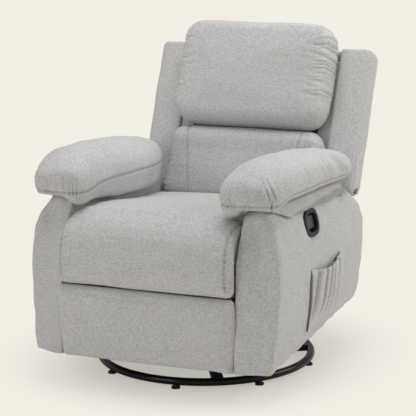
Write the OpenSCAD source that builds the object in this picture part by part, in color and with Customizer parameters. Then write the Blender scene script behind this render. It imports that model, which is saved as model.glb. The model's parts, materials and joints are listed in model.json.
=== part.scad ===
// Swivel rocker recliner: floor ring, ball bearing swivel, rocker cams on rails,
// four-bar footrest linkage in both sides, reclining back, padded seat and arms.
// Millimetres, Z up, the sitter faces -Y, X = 0 is the middle of the chair.

/* [Floor base] */
// Distance from the swivel axis to the centre line of the ring tube
ring_radius = 342; // [335:1:350]
// Diameter of the ring tube
ring_tube_d = 25; // [23:0.5:27]
// Height of a glide foot below the ring tube
foot_h = 10; // [8:0.5:13]
// Diameter of a glide foot
foot_d = 28; // [24:1:32]
// Number of glide feet
foot_count = 8; // [6:1:10]
// Turn of the floor base about the swivel axis, in degrees
base_turn = 7.5; // [0:0.5:20]
// Width of a cross arm bar
cross_arm_w = 34; // [28:1:40]
// Height of a cross arm bar
cross_arm_h = 20; // [18:0.5:22]
// Rise of a cross arm from the ring to the hub
cross_arm_rise = 21.5; // [18:0.5:26]
// Diameter of the hub plate
hub_plate_d = 190; // [175:1:200]
// Thickness of the hub plate
hub_plate_t = 4; // [3:0.5:6]

/* [Swivel] */
// Place of the swivel axis along Y, negative is towards the front
swivel_y = -44; // [-48:1:-40]
// Diameter of the ball circle
ball_circle_d = 140; // [130:1:145]
// Diameter of a bearing ball
ball_d = 8; // [7:0.5:9]
// Number of bearing balls
ball_count = 18; // [12:1:22]
// Width of a bearing race
race_w = 24; // [20:1:28]
// Height of a bearing race
race_h = 8; // [7:0.5:10]
// Side of the square turntable plate
turntable_w = 260; // [240:1:280]
// Thickness of the turntable plate
turntable_t = 4; // [3:0.5:5]
// Diameter of the king bolt
king_bolt_d = 16; // [14:1:18]

/* [Rocker] */
// Distance from the middle to a rocker rail and its cam
rail_x = 188; // [185:1:190]
// Width of a rocker rail
rail_w = 30; // [26:1:32]
// Height of a rocker rail
rail_h = 24; // [20:1:28]
// Length of a rocker rail
rail_len = 340; // [320:1:360]
// Height of the cross channels that carry the rails
channel_h = 20; // [18:1:24]
// Width of a cross channel
channel_w = 36; // [32:1:42]
// Wall of the cross channels
channel_wall = 3; // [2.5:0.5:4]
// Distance between the two cross channels
channel_pitch = 190; // [180:1:200]
// Radius of the curved edge of a rocker cam
cam_radius = 270; // [250:5:300]
// Thickness of a rocker cam
cam_w = 24; // [20:1:26]
// Length of a rocker cam
cam_len = 300; // [280:1:310]
// Height of a rocker cam at its middle
cam_h = 60; // [56:1:66]
// Outer diameter of a rocker spring
coil_d = 36; // [32:1:38]
// Wire diameter of a rocker spring
coil_wire_d = 5; // [4.5:0.5:5.5]
// Curls in a rocker spring
coil_curls = 6; // [5:1:6]
// Distance between the two springs of a side
coil_pitch = 62; // [56:1:70]
// Sheet thickness of the spring brackets
bracket_t = 3; // [2.5:0.5:4]

/* [Mechanism] */
// Distance from the middle to the inner face of a side plate
plate_x = 250; // [249:0.5:251]
// Thickness of the side plates and links
plate_t = 3; // [2.5:0.25:3.5]
// Diameter of the link pivots
pin_d = 10; // [9:0.5:11]
// Width of the links
link_w = 24; // [22:1:25]
// Place of the front link pivot along Y
front_pivot_y = -385; // [-387:1:-383]
// Height of the front link pivot
front_pivot_z = 292; // [290:1:294]
// Place of the drive tube along Y
drive_y = -330; // [-332:1:-328]
// Height of the drive tube
drive_z = 281; // [279:1:283]
// Front link from its pivot to the crossing pivot
front_link_a = 165; // [163:1:167]
// Front link from the crossing pivot to its end pivot
front_link_b = 41; // [39:1:43]
// Outer link from the crossing pivot to the rear link
outer_link_a = 63; // [61:1:65]
// Outer link from the crossing pivot to the footrest bracket
outer_link_b = 225; // [223:1:227]
// Direction of the front link when folded, in degrees from +Y
front_link_turn = -10.5; // [-11.5:0.5:-9.5]
// Direction of the outer link when folded, in degrees from +Y
outer_link_turn = -190.5; // [-191.5:0.5:-189.5]
// Reach of the footrest bracket's end pivot behind the board
bracket_reach = 48; // [46:1:50]
// Height of the bracket's end pivot above the foot of the pad
bracket_up = 126; // [124:1:128]
// Diameter of the drive tube
drive_tube_d = 16; // [14:1:18]

/* [Seat] */
// Width of the seat cushion and of the footrest pad
seat_w = 566; // [560:1:568]
// Front of the seat cushion and of the footrest pad
seat_front_y = -531; // [-534:1:-528]
// Rear end of the seat cushion
seat_rear_y = 196; // [190:1:198]
// Height of the seam between the seat front and the footrest
seat_seam_z = 330; // [326:1:334]
// Height of the top of the seat cushion at its front
seat_top_z = 550; // [540:1:560]
// Drop of the seat top towards the back
seat_drop = 62; // [50:1:70]
// Thickness of the seat front below its rounded edge
seat_front_t = 76; // [70:1:80]
// Height of the seat box rails
box_h = 66; // [60:1:70]
// Thickness of the seat box rails
box_t = 20; // [18:1:22]

/* [Footrest] */
// Bottom edge of the footrest pad
foot_pad_z = 112; // [108:1:116]
// Set-back of the bottom edge of the footrest pad
foot_pad_setback = 49; // [44:1:54]
// Thickness of the footrest pad
foot_pad_t = 48; // [46:1:50]
// Length of the footrest pad that hangs below its board
foot_pad_over = 10; // [6:1:12]
// Thickness of the footrest board
foot_board_t = 14; // [12:1:15]

/* [Arms] */
// Clearance between the seat cushion and each arm
seat_side_gap = 2; // [2:0.5:4]
// Width of an arm at its widest
arm_w = 128; // [122:1:132]
// Front of an arm at its foot
arm_front_y = -473; // [-478:1:-468]
// Rear of an arm at its foot
arm_rear_y = 304; // [298:1:306]
// Bottom of an arm at the front
arm_bottom_front_z = 98; // [94:1:102]
// Bottom of an arm at the rear
arm_bottom_rear_z = 161; // [155:1:166]
// Top of an arm at the front
arm_top_front_z = 605; // [600:1:608]
// Top of an arm at the rear
arm_top_rear_z = 575; // [570:1:580]
// Thickness of the wooden arm frame
arm_frame_t = 15; // [12:1:18]
// Width of an arm pillow
pillow_w = 206; // [200:1:208]
// Thickness of an arm pillow at its crown
pillow_t = 130; // [124:1:134]
// Front of an arm pillow
pillow_front_y = -488; // [-492:1:-482]
// Rear of an arm pillow
pillow_rear_y = 300; // [292:1:304]
// Drop of the flap below the pillow
flap_drop = 36; // [32:1:38]
// Thickness of the flap
flap_t = 3; // [2.5:0.5:4]

/* [Handle] */
// Length of the oval handle bezel
bezel_l = 108; // [104:1:114]
// Height of the oval handle bezel
bezel_h = 87; // [84:1:90]
// Place of the handle along Y
handle_y = -138; // [-144:1:-132]
// Height of the handle
handle_z = 503; // [498:1:506]
// Depth of the handle cup behind the bezel
cup_depth = 36; // [32:1:40]
// Lean of the handle plate, in degrees
handle_lean = 13; // [11:0.5:15]
// Length of the lever plate
lever_l = 56; // [52:1:60]

/* [Pocket] */
// Front edge of the side pocket
pocket_front_y = -192; // [-200:1:-184]
// Rear edge of the side pocket
pocket_rear_y = 84; // [76:1:92]
// Bottom of the side pocket
pocket_bottom_z = 168; // [162:1:174]
// Top of the side pocket at its corners
pocket_top_z = 368; // [360:1:374]
// Sag of the pocket's mouth
pocket_sag = 18; // [10:1:24]
// Stand-off of the pocket cloth at its mouth
pocket_bulge = 11; // [10:1:14]
// Thickness of the pocket cloth
pocket_t = 3; // [2.5:0.5:4]

/* [Back] */
// Lean of the back from upright, in degrees
back_lean = 23; // [22:0.5:24]
// Place of the front face of the wings at the reference height
back_y = 282; // [280:1:286]
// Reference height on the back
back_z = 500; // [498:1:504]
// Width over the wings
back_w = 784; // [776:1:790]
// Width between the wings
back_inner_w = 548; // [544:1:552]
// Depth of the back from the wing faces to the rear cover
back_t = 68; // [66:1:74]
// Height of the wings above the reference
wing_top = 510; // [500:1:516]
// Lower end of the wings above the reference
wing_foot = 15; // [12:1:18]
// Lower end of the back frame below the reference
back_foot = 186; // [180:1:190]
// Bottom of the head cushion above the reference
head_foot = 205; // [200:1:210]
// Height of the head cushion
head_h = 374; // [366:1:380]
// Depth of the head cushion in front of the wing faces
head_t = 104; // [96:1:110]
// Depth of the lumbar cushion in front of the wing faces
lumbar_t = 66; // [60:1:70]
// Lower end of the lumbar cushion below the reference
lumbar_foot = 60; // [54:1:62]
// Place of the recline pivot along Y
recline_y = 210; // [208:1:212]
// Height of the recline pivot
recline_z = 335; // [333:1:337]

/* [Hidden] */
arm_inner_x = seat_w / 2 + seat_side_gap;
$fn = 48;

// Gap between pieces that move past each other
gap = 0.3;
// Radial play of a pin in its bore
play = 0.05;
// Overrun of every cut
over = 1;

// Heights of the base, from the floor up
ring_z = foot_h + ring_tube_d / 2;
arm_foot_z = ring_z - cross_arm_h / 2;
hub_z = arm_foot_z + cross_arm_rise + cross_arm_h;
race_z = hub_z + hub_plate_t;
race_gap = 0.36 * ball_d;
turntable_z = race_z + 2 * race_h + race_gap;
channel_z = turntable_z + turntable_t;
rail_z = channel_z + channel_h;
rail_top_z = rail_z + rail_h;
cam_foot_z = rail_top_z + gap;
rock_z = cam_foot_z + cam_radius;
base_z = cam_foot_z + cam_h;

// Planes of the links, each the inner face of its sheet, from the side plate inward
layer = 2 * plate_t;
inner_link_x = plate_x - layer;
front_link_x = plate_x - 2 * layer;
outer_link_x = plate_x - 3 * layer;
rear_link_x = plate_x - 4 * layer;

// Pivots of the footrest linkage when folded, as [y, z]
pivot_a = [front_pivot_y, front_pivot_z];
pivot_b = [drive_y, drive_z];
pivot_e = pivot_a + front_link_a * unit(front_link_turn);
pivot_c = pivot_a + (front_link_a + front_link_b) * unit(front_link_turn);
pivot_d = pivot_e - outer_link_a * unit(outer_link_turn);
pivot_f = pivot_e + outer_link_b * unit(outer_link_turn);

// Footrest plane, from its bottom front edge up
foot_seam = 4;
foot_top_z = seat_seam_z - foot_seam;
foot_bottom_y = seat_front_y + foot_pad_setback;
foot_lean = atan2(foot_pad_setback, foot_top_z - foot_pad_z);
foot_len = norm([foot_pad_setback, foot_top_z - foot_pad_z]);
foot_back = foot_pad_t + foot_board_t;
foot_up = [-sin(foot_lean), cos(foot_lean)];
foot_in = [cos(foot_lean), sin(foot_lean)];
foot_origin = [foot_bottom_y, foot_pad_z];
pivot_g = foot_origin + (foot_back + bracket_reach) * foot_in + bracket_up * foot_up;
recline = [recline_y, recline_z];

function unit(a) = [cos(a), sin(a)];
function lerp(a, b, t) = a + (b - a) * t;
function total(list) = [for (item = list) 1] * list;
function middle(ring) = total(ring) / len(ring);
function flip(face) = [for (i = [len(face) - 1 : -1 : 0]) face[i]];

// Six times the volume inside the faces, negative when they are wound inside out
function wound(points, faces) =
    [for (f = faces) cross(points[f[0]], points[f[1]]) * points[f[2]]] * [for (f = faces) 1];

// Closed skin over rings of points; each end is closed with a fan from its middle,
// or with a ladder between the ring's two sides
module skin(rings, close = "fan") {
    n = len(rings[0]);
    m = len(rings);
    points = concat([for (ring = rings) each ring], [middle(rings[0]), middle(rings[m - 1])]);
    walls = [for (j = [0 : m - 2], i = [0 : n - 1]) each [
        [j * n + i, (j + 1) * n + i, (j + 1) * n + (i + 1) % n],
        [j * n + i, (j + 1) * n + (i + 1) % n, j * n + (i + 1) % n]
    ]];
    ends = [for (i = [0 : n - 1]) each [
        [m * n, i, (i + 1) % n],
        [m * n + 1, (m - 1) * n + (i + 1) % n, (m - 1) * n + i]
    ]];
    caps = [[for (i = [0 : n - 1]) i], [for (i = [0 : n - 1]) m * n - 1 - i]];
    rungs = [for (i = [0 : n / 2 - 2], cap = caps) each [
        [cap[i], cap[i + 1], cap[n - 2 - i]],
        [cap[i], cap[n - 2 - i], cap[n - 1 - i]]
    ]];
    turned = wound(points, concat(walls, ends)) > 0;
    if (close == "fan") {
        polyhedron(points, [for (f = concat(walls, ends)) turned ? flip(f) : f]);
    } else {
        polyhedron(
            [for (i = [0 : m * n - 1]) points[i]],
            [for (f = concat(walls, rungs)) turned ? flip(f) : f]
        );
    }
}

// Tube along a path, with its rings square to the path
module wire(path, d, sides) {
    last = len(path) - 1;
    skin([for (i = [0 : last])
        let (ahead = path[min(i + 1, last)] - path[max(i - 1, 0)])
        let (along = ahead / norm(ahead))
        let (across = cross(along, [0, 0, 1]) / norm(cross(along, [0, 0, 1])))
        let (up = cross(across, along))
        [for (k = [0 : sides - 1])
            path[i] + d / 2 * (cos(360 * k / sides) * across + sin(360 * k / sides) * up)]]);
}

// Sheet cut to a shape in the side view, t thick from x outward
module plate(x, t) {
    translate([x, 0, 0]) rotate([90, 0, 90]) linear_extrude(t) children();
}

// Round bar along X between two places at a point of the side view
module rod(x0, x1, p, d) {
    translate([x0, p[0], p[1]]) rotate([0, 90, 0]) cylinder(h = x1 - x0, d = d);
}

// Flat bar between two points of the side view, w across its round ends and a little less between them
module strap(p, q, w) {
    neck = 0.84 * w;
    translate(p) circle(d = w);
    translate(q) circle(d = w);
    translate(p) rotate(atan2(q[1] - p[1], q[0] - p[0])) translate([0, -neck / 2]) square([norm(q - p), neck]);
}

// Band with square ends that reach half its width past two points of the side view
module band(p, q, w) {
    translate(p) rotate(atan2(q[1] - p[1], q[0] - p[0])) translate([-w / 2, -w / 2]) square([norm(q - p) + w, w]);
}

// Lightening holes in a row between two points of the side view
module lightened(p, q, count, d) {
    for (k = [0 : count - 1]) hole_at(lerp(p, q, k / (count - 1)), d);
}

module hole_at(p, d) {
    translate(p) circle(d = d);
}

// Side +1 is the sitter's left (+X), side -1 the right
module on_side(side) {
    if (side > 0) {
        children();
    } else {
        mirror([1, 0, 0]) children();
    }
}

module both_sides() {
    children();
    mirror([1, 0, 0]) children();
}

module about_swivel() {
    translate([0, swivel_y, 0]) children();
}

// Frame of the back: Y into the back, Z up along it, X across
module on_back() {
    translate([0, back_y, back_z]) rotate([-back_lean, 0, 0]) children();
}

// Frame of the folded footrest: Y into the pad, Z up along it
module on_footrest() {
    translate([0, foot_bottom_y, foot_pad_z]) rotate([foot_lean, 0, 0]) children();
}

// Frame of the handle: X outward, Z up the leaning arm side
module on_handle() {
    translate([handle_x, handle_y, handle_z]) rotate([0, -handle_lean, 0]) children();
}

// Floor ring: one bent tube, welded end to end
module floor_ring() {
    color("#1c1c1e") about_swivel() translate([0, 0, ring_z])
        rotate_extrude($fn = 96) translate([ring_radius, 0]) circle(d = ring_tube_d, $fn = 24);
}

// Cross arms: four bars that rise from the ring to the hub, cut to the ring's tube
module cross_arms() {
    hub_r = hub_plate_d / 2;
    color("#202124") about_swivel() difference() {
        for (i = [0 : 3]) rotate(base_turn + 22.5 + 90 * i) rotate([90, 0, 0])
            translate([0, 0, -cross_arm_w / 2]) linear_extrude(cross_arm_w)
                polygon([
                    [cross_arm_w / 2 + king_bolt_d, hub_z - cross_arm_h],
                    [hub_r, hub_z - cross_arm_h],
                    [ring_radius - 2 * ring_tube_d, arm_foot_z],
                    [ring_radius, arm_foot_z],
                    [ring_radius, arm_foot_z + cross_arm_h],
                    [ring_radius - 2 * ring_tube_d, arm_foot_z + cross_arm_h],
                    [hub_r, hub_z],
                    [cross_arm_w / 2 + king_bolt_d, hub_z]
                ]);
        translate([0, 0, ring_z]) rotate_extrude($fn = 96)
            translate([ring_radius, 0]) circle(d = ring_tube_d + 2 * play, $fn = 24);
    }
}

// Glide feet: round pads with a neck that seats on the ring
module glide_feet() {
    color("#101010") about_swivel() difference() {
        for (i = [0 : foot_count - 1]) rotate(base_turn + 360 * i / foot_count)
            translate([ring_radius, 0, 0]) {
                cylinder(h = 0.6 * foot_h, d = foot_d);
                cylinder(h = foot_h + ring_tube_d / 4, d = 0.6 * foot_d);
            }
        translate([0, 0, ring_z]) rotate_extrude($fn = 96)
            translate([ring_radius, 0]) circle(d = ring_tube_d + 2 * play, $fn = 24);
    }
}

// Hub plate: welded on the cross arms, with the king bolt's bore
module hub_plate() {
    color("#202124") about_swivel() translate([0, 0, hub_z]) difference() {
        cylinder(h = hub_plate_t, d = hub_plate_d, $fn = 96);
        translate([0, 0, -over]) cylinder(h = hub_plate_t + 2 * over, d = king_bolt_d + 2 * play);
        for (i = [0 : 3]) rotate(base_turn + 67.5 + 90 * i) translate([0.42 * hub_plate_d, 0, -over])
            cylinder(h = hub_plate_t + 2 * over, d = 0.06 * hub_plate_d);
    }
}

// Bearing race with a groove for the balls, groove up
module race() {
    rotate_extrude($fn = 96) difference() {
        translate([ball_circle_d / 2 - race_w / 2, 0]) square([race_w, race_h]);
        translate([ball_circle_d / 2, race_h + race_gap / 2])
            circle(d = ball_d + 4 * play, $fn = 32);
    }
}

module lower_race() {
    color("#9a9ca0") about_swivel() translate([0, 0, race_z]) race();
}

module upper_race() {
    color("#9a9ca0") about_swivel() translate([0, 0, turntable_z]) mirror([0, 0, 1]) race();
}

module bearing_balls() {
    color("#d8dadc") about_swivel() for (i = [0 : ball_count - 1])
        rotate(360 * i / ball_count)
            translate([ball_circle_d / 2, 0, race_z + race_h + race_gap / 2])
                sphere(d = ball_d, $fn = 16);
}

// Turntable plate: square with cut corners, carries the cross channels
module turntable_plate() {
    cut = 0.14 * turntable_w;
    half = turntable_w / 2;
    color("#26272a") about_swivel() translate([0, 0, turntable_z]) difference() {
        linear_extrude(turntable_t) polygon([
            [-half + cut, -half], [half - cut, -half], [half, -half + cut], [half, half - cut],
            [half - cut, half], [-half + cut, half], [-half, half - cut], [-half, -half + cut]
        ]);
        translate([0, 0, -over]) cylinder(h = turntable_t + 2 * over, d = king_bolt_d + 2 * play);
        for (x = [-1, 1], y = [-1, 1]) translate([0.2 * turntable_w * x, 0.42 * turntable_w * y, -over])
            cylinder(h = turntable_t + 2 * over, d = 0.05 * turntable_w);
    }
}

// King bolt: ties the turntable to the hub, with its head above and its nut below
module king_bolt() {
    head_h = 0.6 * king_bolt_d;
    color("#b4b6ba") about_swivel() {
        translate([0, 0, hub_z - 2 * head_h]) cylinder(h = channel_z - hub_z + 3 * head_h, d = king_bolt_d);
        translate([0, 0, channel_z + gap]) cylinder(h = head_h, d = 1.8 * king_bolt_d, $fn = 6);
        translate([0, 0, hub_z - head_h - gap]) cylinder(h = head_h, d = 1.8 * king_bolt_d, $fn = 6);
    }
}

// Cross channels: two open channels across the turntable
module cross_channels() {
    length = 2 * rail_x + rail_w;
    inner_w = channel_w - 2 * channel_wall;
    color("#202124") about_swivel() for (y = [-1, 1])
        translate([-length / 2, y * channel_pitch / 2 - channel_w / 2, channel_z]) difference() {
            cube([length, channel_w, channel_h]);
            translate([-over, channel_wall, -over])
                cube([length + 2 * over, inner_w, channel_h - channel_wall + over]);
        }
}

// Rocker rail: wooden rail with rounded ends that the cam rolls on
module rocker_rail(side) {
    color("#b08a5a") about_swivel() on_side(side)
        translate([rail_x - rail_w / 2, 0, 0]) plate(0, rail_w) {
            translate([-rail_len / 2 + rail_h / 2, rail_z]) square([rail_len - rail_h, rail_h]);
            for (y = [-1, 1]) translate([y * (rail_len - rail_h) / 2, rail_z + rail_h / 2])
                circle(d = rail_h);
        }
}

module rocker_rail_left() { rocker_rail(1); }

module rocker_rail_right() { rocker_rail(-1); }

// Rocker cam: plywood segment, round below about the rocking axis, flat on top
module rocker_cam(side) {
    color("#c29c6a") about_swivel() on_side(side) plate(rail_x - cam_w / 2, cam_w) difference() {
        intersection() {
            translate([0, rock_z]) circle(r = cam_radius, $fn = 180);
            translate([-cam_len / 2, cam_foot_z]) square([cam_len, cam_h]);
        }
        for (y = [-1, 1]) translate([0.28 * cam_len * y, base_z - 0.3 * cam_h]) circle(d = 0.2 * cam_h);
    }
}

module rocker_cam_left() { rocker_cam(1); }

module rocker_cam_right() { rocker_cam(-1); }

// Height at which the rocker springs stand on the lower brackets
spring_foot_z = rail_z + 0.35 * rail_h;
spring_top_z = base_z - 0.25 * cam_h;
spring_x = rail_x - rail_w / 2 - bracket_t - gap - coil_d / 2;
spring_tab = 2 * coil_pitch;

// Lower spring brackets: angles screwed to the inner faces of the rails
module lower_spring_brackets() {
    reach = coil_d + bracket_t + gap;
    color("#303236") about_swivel() both_sides() {
        translate([rail_x - rail_w / 2 - bracket_t, -spring_tab / 2, rail_z])
            cube([bracket_t, spring_tab, rail_h - gap]);
        translate([rail_x - rail_w / 2 - reach, -spring_tab / 2, spring_foot_z - bracket_t])
            cube([reach, spring_tab, bracket_t]);
    }
}

// Upper spring brackets: angles screwed to the inner faces of the cams
module upper_spring_brackets() {
    face_x = rail_x - cam_w / 2;
    edge_x = spring_x - coil_d / 2;
    color("#303236") about_swivel() both_sides() {
        translate([face_x - bracket_t, -spring_tab / 2, spring_top_z])
            cube([bracket_t, spring_tab, base_z - spring_top_z]);
        translate([edge_x, -spring_tab / 2, spring_top_z])
            cube([face_x - edge_x, spring_tab, bracket_t]);
    }
}

// Rocker springs: open coils between the brackets, closed flat at both ends
function coil_path(x, y) =
    let (steps = 8 * coil_curls)
    let (r = (coil_d - coil_wire_d) / 2)
    let (low = spring_foot_z + coil_wire_d / 2 + gap)
    let (high = spring_top_z - coil_wire_d / 2 - gap)
    [for (i = [0 : steps]) [
        x + r * cos(360 * i / 8),
        y + r * sin(360 * i / 8),
        lerp(low, high, i / steps)
    ]];

coil_rise = (spring_top_z - spring_foot_z - coil_wire_d - 2 * gap) / coil_curls;
echo(str("least gap between the curls of a rocker spring: ", coil_rise - coil_wire_d, " mm"));

module rocker_springs() {
    color("#8c8f94") about_swivel() for (side = [-1, 1], y = [-1, 1])
        wire(coil_path(side * spring_x, y * coil_pitch / 2), coil_wire_d, 6);
}

// Base angles: steel angles across the cams that carry the side plates
angle_w = 0.5 * cam_h;
angle_pitch = 0.6 * cam_len;

module base_angles() {
    length = 2 * plate_x + 2 * plate_t;
    color("#26272a") about_swivel() for (y = [-1, 1]) {
        translate([-length / 2, y * angle_pitch / 2 - angle_w / 2, base_z])
            cube([length, angle_w, bracket_t]);
        translate([-plate_x + gap, y * (angle_pitch / 2 - angle_w / 2) - bracket_t / 2, base_z])
            cube([2 * plate_x - 2 * gap, bracket_t, angle_w]);
    }
}

// Side plate of the mechanism: pressed sheet with its pivots, slots and a stiffening rib
plate_nose = 1.8 * pin_d;
box_z = recline_z - pin_d;
plate_foot_z = base_z + bracket_t;
plate_top_z = box_z - gap;
bore_d = pin_d + 2 * play;

module side_plate(side) {
    low_y = swivel_y - angle_pitch / 2 - angle_w / 2;
    high_y = swivel_y + angle_pitch / 2 + angle_w / 2;
    head = front_link_x - 2 * gap;
    color("#3a3c40") on_side(side) {
        plate(plate_x, plate_t) difference() {
            union() {
                polygon([
                    pivot_a + [-plate_nose, 0],
                    [front_pivot_y - 0.6 * plate_nose, plate_top_z],
                    [recline_y - plate_nose, plate_top_z],
                    recline + [-plate_nose, 0],
                    recline + [plate_nose, 0],
                    recline + [plate_nose, -3 * plate_nose],
                    [high_y, plate_foot_z],
                    [low_y, plate_foot_z],
                    [drive_y + 2 * plate_nose, drive_z - 2 * plate_nose],
                    pivot_a + [0, -plate_nose]
                ]);
                translate(pivot_a) circle(r = plate_nose);
                translate(recline) circle(r = plate_nose);
            }
            for (i = [-1 : 2]) band(
                [swivel_y + (i - 0.3) * angle_pitch / 2, drive_z],
                [swivel_y + (i + 0.2) * angle_pitch / 2, drive_z],
                link_w
            );
            hole_at(pivot_b, drive_tube_d + link_w / 2);
        }
        plate(plate_x + plate_t, plate_t / 2 - gap)
            band([drive_y, plate_top_z - link_w / 2], [recline_y - 3 * plate_nose, plate_top_z - link_w / 2],
                link_w / 4);
        rod(head, plate_x, pivot_a, pin_d);
        rod(head - 0.6 * plate_t, head, pivot_a, 1.6 * pin_d);
        rod(inner_link_x - gap, plate_x + plate_t, recline, pin_d);
        rod(inner_link_x - 0.8 * plate_t, inner_link_x - gap, recline, 1.6 * pin_d);
    }
}

module side_plate_left() { side_plate(1); }

module side_plate_right() { side_plate(-1); }

// Mounting boards: wood between the side plates and the arm frames
module mount_boards() {
    board_x = plate_x + 1.5 * plate_t;
    low_z = drive_z - plate_nose;
    color("#c9a878") both_sides() plate(board_x, arm_inner_x - board_x - gap / 2)
        polygon([
            [front_pivot_y, low_z],
            [recline_y - 2 * plate_nose, low_z - 2 * plate_nose],
            [recline_y - 2 * plate_nose, box_z],
            [front_pivot_y, box_z]
        ]);
}

// Tube hangers: cranked straps from the side plates down to the drive tube
module tube_hangers() {
    leg_x = rear_link_x - layer;
    tab_z = plate_top_z - plate_t;
    color("#34363a") both_sides() difference() {
        union() {
            translate([leg_x, drive_y - link_w / 2, tab_z])
                cube([plate_x - leg_x, link_w, plate_t]);
            plate(leg_x, plate_t) strap(pivot_b, [drive_y, plate_top_z - link_w / 2], link_w);
        }
        rod(leg_x - over, leg_x + plate_t + over, pivot_b, drive_tube_d + 2 * play);
    }
}

// Seat box: four wooden rails on the mounting boards
box_x = plate_x + 0.42 * box_h;
box_front_y = seat_front_y + 1.09 * seat_front_t;
box_rear_y = seat_rear_y - 0.08 * seat_front_t;
box_foot_z = box_z + gap;
box_top_z = box_foot_z + box_h;

module seat_box() {
    long = box_rear_y - box_front_y;
    color("#c9a878") translate([0, 0, box_foot_z]) difference() {
        translate([-box_x, box_front_y, 0]) cube([2 * box_x, long, box_h]);
        translate([-box_x + box_t, box_front_y + box_t, -over])
            cube([2 * box_x - 2 * box_t, long - 2 * box_t, box_h + 2 * over]);
    }
}

// Seat springs: sinuous wires from the front rail to the rear rail of the seat box
seat_wire_d = 0.05 * box_h;
seat_wire_turns = 7;
seat_wire_count = 4;

function sinuous_path(x) =
    let (steps = 6 * seat_wire_turns)
    [for (i = [0 : steps]) [
        x + 0.4 * box_h * sin(360 * i / 6 + 30),
        lerp(box_front_y + box_t / 2, box_rear_y - box_t / 2, i / steps),
        box_top_z + gap + seat_wire_d / 2
    ]];

module seat_springs() {
    color("#6f7277") for (i = [0 : seat_wire_count - 1])
        wire(sinuous_path((i - (seat_wire_count - 1) / 2) * 0.4 * box_x), seat_wire_d, 5);
}

// Felt pad between the springs and the cushion
felt_z = box_top_z + seat_wire_d + 2 * gap;
felt_t = 0.08 * box_h;

module seat_felt() {
    front_y = max(box_front_y, seat_front_y + 1.14 * seat_front_t + gap);
    color("#57544f") translate([0, 0, felt_z]) linear_extrude(felt_t) polygon([
        [-box_x + box_t, front_y], [box_x - box_t, front_y], [box_x, box_front_y + box_t],
        [box_x, box_rear_y - box_t], [box_x - box_t, box_rear_y], [-box_x + box_t, box_rear_y],
        [-box_x, box_rear_y - box_t], [-box_x, box_front_y + box_t]
    ]);
}

// Seat cushion: waterfall front, crowned top, drawn in at both sides
seat_under_z = felt_z + felt_t + gap;
seat_nose = [1.45 * seat_front_t, 1.4 * seat_front_t];
seat_lip_z = seat_seam_z + foot_seam;
seat_edge = 0.34 * seat_front_t;
seat_crown = 0.16 * seat_front_t;

function ease(s) = s * s * (3 - 2 * s);
function seat_height(y) =
    seat_top_z - seat_drop * ease(max(0, (y - seat_front_y - seat_nose[0]) / (seat_rear_y - seat_front_y - seat_nose[0])));

function nose_point(k) = [
    seat_front_y + seat_nose[0] * (1 - cos(15 * k)),
    seat_top_z - seat_nose[1] * (1 - sin(15 * k))
];
seat_top_ends = [seat_front_y + seat_nose[0], seat_rear_y - 0.4 * seat_front_t];
seat_outside = concat(
    [[seat_front_y + 0.5 * seat_front_t, seat_lip_z]],
    [[seat_front_y + 0.28 * seat_front_t, seat_lip_z + 0.03 * seat_front_t]],
    [[seat_front_y + 0.05 * seat_front_t, seat_lip_z + 0.3 * seat_front_t]],
    [[seat_front_y, seat_lip_z + 0.9 * seat_front_t]],
    [for (k = [0 : 6]) nose_point(k)],
    [for (k = [1 : 6]) let (y = lerp(seat_top_ends[0], seat_top_ends[1], k / 6)) [y, seat_height(y)]],
    [[seat_rear_y - 0.12 * seat_front_t, seat_height(seat_rear_y) - 0.1 * seat_front_t]],
    [[seat_rear_y, seat_height(seat_rear_y) - 0.35 * seat_front_t]]
);
seat_inside = concat(
    [[seat_front_y + 0.72 * seat_front_t, seat_lip_z + 0.03 * seat_front_t]],
    [[seat_front_y + 0.95 * seat_front_t, seat_lip_z + 0.3 * seat_front_t]],
    [[seat_front_y + seat_front_t, seat_under_z - 0.4 * seat_front_t]],
    [[seat_front_y + seat_front_t, seat_under_z - 0.1 * seat_front_t]],
    [for (k = [0 : 6]) [lerp(seat_front_y + 1.14 * seat_front_t, seat_top_ends[0], k / 6), seat_under_z]],
    [for (k = [1 : 6]) [lerp(seat_top_ends[0], seat_top_ends[1], k / 6), seat_under_z]],
    [[seat_rear_y - 0.14 * seat_front_t, seat_under_z]],
    [[seat_rear_y, seat_under_z + 0.35 * seat_front_t]]
);
seat_profile = concat(seat_outside, flip(seat_inside));

function out_of(points, i) =
    let (n = len(points))
    let (d = points[(i + 1) % n] - points[(i + n - 1) % n])
    [-d[1], d[0]] / norm(d);

function swept_ring(points, x, inset, crown) = [for (i = [0 : len(points) - 1])
    let (o = out_of(points, i))
    let (p = points[i] + o * (crown * max(0, o[1]) - inset))
    [x, p[0], p[1]]];

module seat_cushion() {
    half = seat_w / 2;
    straight = half - seat_edge;
    rings = concat(
        [for (k = [5 : -1 : 1])
            swept_ring(seat_profile, -straight - seat_edge * sin(18 * k), seat_edge * (1 - cos(18 * k)), 0)],
        [for (k = [-3 : 3])
            swept_ring(seat_profile, straight * k / 3, 0, seat_crown * (1 - k * k / 9))],
        [for (k = [1 : 5])
            swept_ring(seat_profile, straight + seat_edge * sin(18 * k), seat_edge * (1 - cos(18 * k)), 0)]
    );
    color("#b9b2a8") skin(rings, "ladder");
}

// Arm side, as shares of its width and height, from its inner foot round the outside
arm_shares = [
    [0, 0], [0.45, 0], [0.86, 0], [0.925, 0.12], [0.98, 0.3], [1, 0.48], [0.98, 0.64], [0.93, 0.77],
    [0.8, 0.89], [0.58, 0.98], [0.36, 1], [0.17, 0.97], [0.05, 0.91], [0, 0.82], [0, 0.4]
];
arm_face_shares = [
    [0, 0.86], [0.12, 0.925], [0.3, 0.98], [0.48, 1], [0.64, 0.98], [0.77, 0.93], [0.89, 0.8],
    [0.98, 0.58], [1, 0.36]
];
arm_h = arm_top_front_z - arm_bottom_front_z;
arm_edge = 0.1 * arm_w;

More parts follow.
